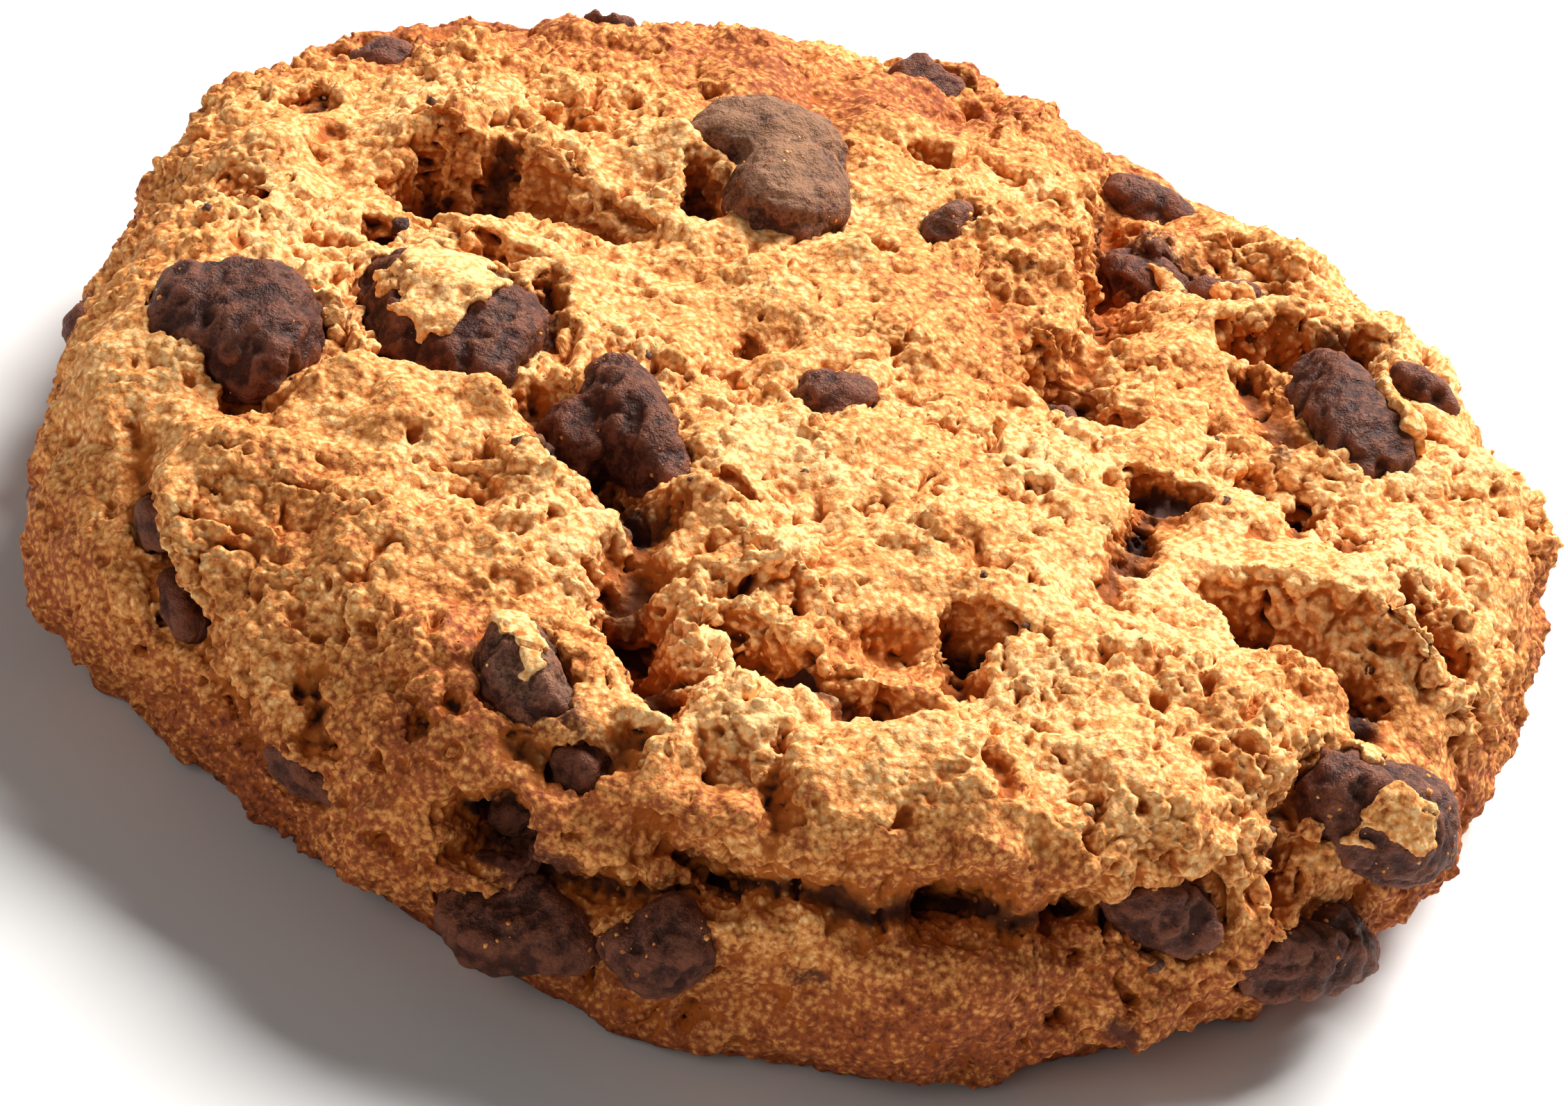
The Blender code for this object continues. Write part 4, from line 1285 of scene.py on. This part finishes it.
@dataclass
class Crumbs:
    """Loose and half-sunk bits of one kind, scattered over a ground as one mesh."""

    kind: Crumb
    spread: Spread
    count: int
    smallest: float
    largest: float
    corners: int
    sunk: float
    seed: int

    def grain(self) -> tuple[Array, Array]:
        """Points and triangles of one grain, a ball of radius 1.

        Returns:
            The points, and the triangles as vertex numbers.
        """
        Workbench.clear_selection()
        bpy.ops.mesh.primitive_ico_sphere_add(subdivisions=self.corners, radius=1.0)
        obj = bpy.context.object
        points = Workbench.points(obj.data) * MM
        faces = Workbench.read(obj.data.polygons, "vertices", 3, np.int32)
        mesh = obj.data
        bpy.data.objects.remove(obj)
        bpy.data.meshes.remove(mesh)
        return points, faces

    def weights(self, middles: Array) -> Array:
        """How readily a bit lands on a face, from the face's middle.

        Args:
            middles: The faces' middles, in millimetres.

        Returns:
            A weight for each face.
        """
        weight = smooth_step(middles[:, 2], 0.6, 2.0)
        if self.spread is Spread.BROKEN:
            weight = weight * (0.25 + CrumbRelief(5).coarseness(middles))
        if self.spread is Spread.CLUMPS:
            weight = weight * smooth_step(Noise(self.seed)(middles, 2.2), 0.0, 0.6)
        return weight

    def scatter(self, ground: bpy.types.Object, rng: np.random.Generator) -> tuple[Array, Array, Array]:
        """Draw places on the ground: points, normals and the number of the nearest vertex.

        Args:
            ground: What the bits lie on.
            rng: The source of the draws.

        Returns:
            The points in millimetres, the normals and the vertex numbers.
        """
        mesh = ground.data
        mesh.calc_loop_triangles()
        faces = Workbench.read(mesh.loop_triangles, "vertices", 3, np.int32)
        corners = Workbench.points(mesh)[faces]
        across = np.cross(corners[:, 1] - corners[:, 0], corners[:, 2] - corners[:, 0])
        area = 0.5 * np.linalg.norm(across, axis=1)
        weight = area * self.weights(corners.mean(1))
        picked = rng.choice(len(faces), self.count, p=weight / weight.sum())
        shares = rng.dirichlet((1.0, 1.0, 1.0), self.count)
        places = (corners[picked] * shares[:, :, None]).sum(1)
        vertex = faces[picked, 0]
        return places, Workbench.normals(mesh)[vertex], vertex

    def build(self, ground: bpy.types.Object, finish: bpy.types.Material, slot: str) -> bpy.types.Object:
        """Make and dress the bits.

        Args:
            ground: What the bits lie on.
            finish: Their material.
            slot: Their slot.

        Returns:
            All the bits as one piece.
        """
        rng = np.random.default_rng(self.seed)
        ball, triangles = self.grain()
        places, normals, vertex = self.scatter(ground, rng)
        size = self.smallest + (self.largest - self.smallest) * rng.power(0.6, self.count)
        axes = rng.normal(size=(self.count, 3, 3))
        axes = np.linalg.qr(axes)[0]
        stretch = rng.uniform(0.65, 1.25, (self.count, 1, 3))
        shape = ball[None] * (1.0 + rng.uniform(-0.22, 0.22, (self.count, len(ball), 1)))
        shape = np.einsum("nij,nkj->nki", axes, shape * stretch) * (0.5 * size)[:, None, None]
        middle = places - normals * (self.sunk * size)[:, None]
        points = (shape + middle[:, None]).reshape(-1, 3)
        points[:, 2] = np.maximum(points[:, 2], 0.0)
        turned_over = np.linalg.det(axes) < 0
        faces = triangles[None] + (np.arange(self.count) * len(ball))[:, None, None]
        faces[turned_over] = faces[turned_over][:, :, ::-1]
        mesh = bpy.data.meshes.new(f"crumbs_{self.kind.value}")
        mesh.from_pydata(points * MM, [], faces.reshape(-1, 3))
        obj = Workbench.add(mesh.name, mesh)
        # The crumbs take over the ground's depth, browning and smear values, so that crumbs in cracks get the
        # same painted shade.
        for name, share in (("broad_pit", 1.0), ("browning_and_shade", 1.0), ("smeared", 1.0), ("hollow", 0.7)):
            if name in ground.data.attributes:
                source = Workbench.read(ground.data.attributes[name].data, "value", 1, np.float32)
                values = share * source[vertex, 0] + (name == "browning_and_shade") * rng.uniform(-0.25, 0.2, self.count)
                Workbench.record(mesh, name, np.repeat(values, len(ball)))
        Workbench.record(mesh, "dust", np.repeat(rng.uniform(0.2, 0.7, self.count), len(ball)))
        Workbench.hand_over(obj, finish, slot)
        return obj


@dataclass(frozen=True)
class DoughCap(Oval):
    """A patch of dough that stuck to a chunk, as an ellipse seen from above."""

    thick: float = 0.8
    browning_and_shade: float = 0.15

    def cover(self, points: Array, normals: Array, noise: Noise) -> Array:
        """Where the patch lies on the chunk: above 0 inside it.

        Args:
            points: The chunk's points, in millimetres.
            normals: Its outward directions.
            noise: What makes the patch's edge ragged.

        Returns:
            A value for each point.
        """
        out = np.sqrt(self.spread(points[:, 0], points[:, 1]))
        ragged = 0.3 * noise(points + 41.0, 1.8) + 0.2 * noise(points + 47.0, 0.7)
        return np.where(normals[:, 2] > 0.1, 1.0 - out + ragged, -1.0)


@dataclass
class Chunk:
    """One chocolate chunk, worn from its plain solid, with the dough that stuck to it."""

    node: str
    dust: float = 0.2
    caps: tuple = ()
    voxel: float = 0.22
    patch_voxel: float = 0.2
    seed: int = 3
    wear: tuple = ((0.12, 2.4, 0.0), (0.16, 1.1, 9.0), (0.18, 0.5, 17.0))

    def stick_dough(
        self, chunk: bpy.types.Object, cap: DoughCap, number: int, finish: bpy.types.Material
    ) -> None:
        """Lay one crumbly patch on the chunk.

        Args:
            chunk: The finished chunk.
            cap: The patch.
            number: The patch's number on this chunk.
            finish: The dough's material.
        """
        mesh = chunk.data.copy()
        mesh.materials.clear()
        obj = Workbench.add(f"{chunk.name}_dough_{number + 1}", mesh)
        cover = cap.cover(Workbench.points(mesh), Workbench.normals(mesh), Noise(self.seed + 50))
        Workbench.delete_vertices(obj, cover < 0.0)
        Workbench.modify(obj, "SOLIDIFY", thickness=cap.thick * MM, offset=0.6)
        Workbench.remesh(obj, self.patch_voxel)
        mesh = obj.data
        points = Workbench.points(mesh)
        height = 0.6 * CrumbRelief(self.seed + 60).height(points, np.full(len(points), 0.2))
        Workbench.place(mesh, points + Workbench.normals(mesh) * height[:, None])
        # The patch's sunk places get painted shade from the dough's finish.
        Workbench.record_pits(mesh, 6, 30)
        Workbench.record(mesh, "browning_and_shade", np.full(len(points), cap.browning_and_shade))
        Workbench.hand_over(obj, finish, "dough")

    def build(self, finish: bpy.types.Material, dough: bpy.types.Material) -> bpy.types.Object:
        """Make and dress the chunk and its patches.

        Args:
            finish: The chocolate's material.
            dough: The dough's material.

        Returns:
            The chunk.
        """
        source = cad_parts[self.node]
        name = self.node.replace("chunk", "chocolate").replace("chip", "chocolate_chip")
        obj = Workbench.add(name, source.data.copy())
        Workbench.modify(obj, "WELD", merge_threshold=0.01 * MM)
        Workbench.remesh(obj, self.voxel)
        mesh = obj.data
        edges = Workbench.edges(mesh)
        points = Workbench.relaxed(Workbench.points(mesh), edges, 4)
        Workbench.place(mesh, points)
        normals = Workbench.normals(mesh)
        noise = Noise(self.seed)
        height = np.zeros(len(points))
        for tall, size, offset in self.wear:
            height += tall * noise(points + offset, size)
        crease = 1.0 - np.abs(noise(points + 31.0, 2.8)) * 16.0
        height -= 0.12 * np.clip(crease, 0.0, 1.0)
        chips = smooth_step(noise(points + 71.0, 1.3), 0.45, 0.6)
        height += 0.14 - 0.22 * chips
        moved = points + normals * height[:, None]
        moved[:, 2] = np.maximum(moved[:, 2], 0.0)
        Workbench.place(mesh, moved)
        soft = Workbench.relaxed(moved, edges, 20)
        Workbench.record(mesh, "ridge", ((moved - soft) * normals).sum(1) * 2.0)
        Workbench.record(mesh, "dust", self.dust * (0.4 + 0.6 * normals[:, 2]))
        Workbench.record(mesh, "browning_and_shade", 0.5 + 0.4 * noise(points + 5.0, 1.5))
        Workbench.hand_over(obj, finish, "chocolate", self.node)
        for number, cap in enumerate(self.caps):
            self.stick_dough(obj, cap, number, dough)
        return obj


@dataclass(frozen=True)
class Studio:
    """Pale floor, soft light from behind, and the camera at the photograph's angle."""

    elevation: float = 34.0
    roll: float = 14.206
    distance: float = 400.0
    target: tuple = (0.28, -5.01, 8.0)
    lens: float = 178.79
    floor_colour: tuple = (0.80, 0.80, 0.80, 1.0)
    light_distance: float = 0.8

    def aim(self) -> None:
        """Add the camera, turned so that the cookie leans to the right as in the photograph."""
        tilt = math.radians(self.elevation)
        back = Vector((0.0, -math.cos(tilt), math.sin(tilt)))
        up = Vector((0.0, math.sin(tilt), math.cos(tilt)))
        turn = math.radians(self.roll)
        right = math.cos(turn) * Vector((1.0, 0.0, 0.0)) + math.sin(turn) * up
        camera = bpy.data.objects.new("camera", bpy.data.cameras.new("camera"))
        camera.data.sensor_width = 36.0
        camera.data.lens = self.lens
        camera.data.clip_start = 0.01
        place = Matrix((right, back.cross(right), back)).transposed().to_4x4()
        place.translation = (Vector(self.target) + back * self.distance) * MM
        camera.matrix_world = place
        bpy.context.scene.collection.objects.link(camera)
        bpy.context.scene.camera = camera

    def light(
        self, name: str, azimuth: float, elevation: float, size: float, power: float, colour: tuple
    ) -> None:
        """Add one soft square light that faces the cookie.

        Args:
            name: The light's name.
            azimuth: Its direction round the cookie, in degrees from +X.
            elevation: Its height in degrees.
            size: The square's side in metres.
            power: Its power in watts.
            colour: Its tint.
        """
        level = math.radians(elevation)
        turn = math.radians(azimuth)
        way = Vector((math.cos(level) * math.cos(turn), math.cos(level) * math.sin(turn), math.sin(level)))
        lamp = bpy.data.objects.new(name, bpy.data.lights.new(name, "AREA"))
        lamp.data.size = size
        lamp.data.energy = power
        lamp.data.color = colour
        lamp.location = way * self.light_distance
        lamp.rotation_euler = way.to_track_quat("Z", "Y").to_euler()
        bpy.context.scene.collection.objects.link(lamp)

    def build(self) -> None:
        """Add the floor, the lights, the surroundings and the camera."""
        Workbench.clear_selection()
        bpy.ops.mesh.primitive_plane_add(size=4.0)
        floor = bpy.context.object
        floor.name = "floor"
        shader = Shader("floor")
        shader.feed(Base_Color=self.floor_colour, Roughness=0.9, Specular_IOR_Level=0.1)
        floor.data.materials.append(shader.material)
        self.light("key", 62.0, 46.0, 0.42, 16.5, (1.0, 0.98, 0.95))
        self.light("fill", 238.0, 28.0, 0.6, 1.5, (1.0, 0.97, 0.93))
        world = bpy.data.worlds.new("surroundings")
        world.use_nodes = True
        world.node_tree.nodes["Background"].inputs["Color"].default_value = (1.0, 0.99, 0.97, 1.0)
        world.node_tree.nodes["Background"].inputs["Strength"].default_value = 0.10
        bpy.context.scene.world = world
        bpy.context.scene.view_settings.view_transform = "Standard"
        self.aim()


CAPS = {
    "chunk_dough_capped": (DoughCap(-19.8, -3.0, 4.3, 3.3, -80.0, 0.5, -0.1),),
    "chunk_right": (DoughCap(29.6, 8.4, 2.6, 1.5, -60.0),),
    "chunk_hollow_left": (DoughCap(16.6, 20.0, 1.7, 0.7, -30.0, 0.5),),
    "chunk_hollow_right": (DoughCap(19.9, 18.4, 1.4, 0.6, 20.0, 0.5),),
    "chunk_right_capped": (
        DoughCap(32.6, -22.8, 2.8, 1.1, 28.0, 0.5),
        DoughCap(30.6, -19.4, 1.0, 1.8, 0.0, 0.5),
    ),
    "chunk_front_dusted": (DoughCap(-11.2, -30.6, 3.0, 1.1, -62.0, 0.5, 0.0),),
}

DUST = {"chunk_far": 0.75, "chip_far_small": 0.5, "chunk_left_heart": 0.12, "chunk_front_dusted": 0.5}

CRUMBS = (
    Crumbs(Crumb.FINE, Spread.BROKEN, 2600, 0.2, 0.42, 1, 0.14, 31),
    Crumbs(Crumb.MEDIUM, Spread.BROKEN, 320, 0.45, 0.8, 2, 0.2, 32),
    Crumbs(Crumb.COARSE, Spread.BROKEN, 24, 0.8, 1.2, 3, 0.25, 33),
)
STUCK_CRUMBS = Crumbs(Crumb.STUCK, Spread.CLUMPS, 450, 0.14, 0.4, 1, 0.2, 34)
FLECKS = Crumbs(Crumb.FLECKS, Spread.EVEN, 130, 0.35, 1.1, 2, 0.46, 35)


def joined(pieces: list[bpy.types.Object]) -> bpy.types.Object:
    """A copy of several pieces as one, for bits to lie on.

    Args:
        pieces: The pieces.

    Returns:
        The copy.
    """
    Workbench.clear_selection()
    for piece in pieces:
        copy = Workbench.add("ground", piece.data.copy())
        copy.select_set(True)
        bpy.context.view_layer.objects.active = copy
    bpy.ops.object.join()
    return bpy.context.object


def main() -> None:
    """Build the cookie's pieces in order, then the studio."""
    dough = BakedDough().build("baked_dough")
    chocolate = DarkChocolate().build("dark_chocolate")
    crust = Crust().build(dough)
    for crumbs in CRUMBS:
        crumbs.build(crust, dough, "dough")
    FLECKS.build(crust, chocolate, "chocolate")
    bpy.data.objects.remove(crust)
    chunks = [
        Chunk(name, DUST.get(name, 0.2), CAPS.get(name, ()), seed=seed).build(chocolate, dough)
        for seed, name in enumerate(sorted(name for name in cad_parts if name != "dough"))
    ]
    ground = joined(chunks)
    STUCK_CRUMBS.build(ground, dough, "dough")
    bpy.data.objects.remove(ground)
    Studio().build()


if __name__ == "__main__":
    main()
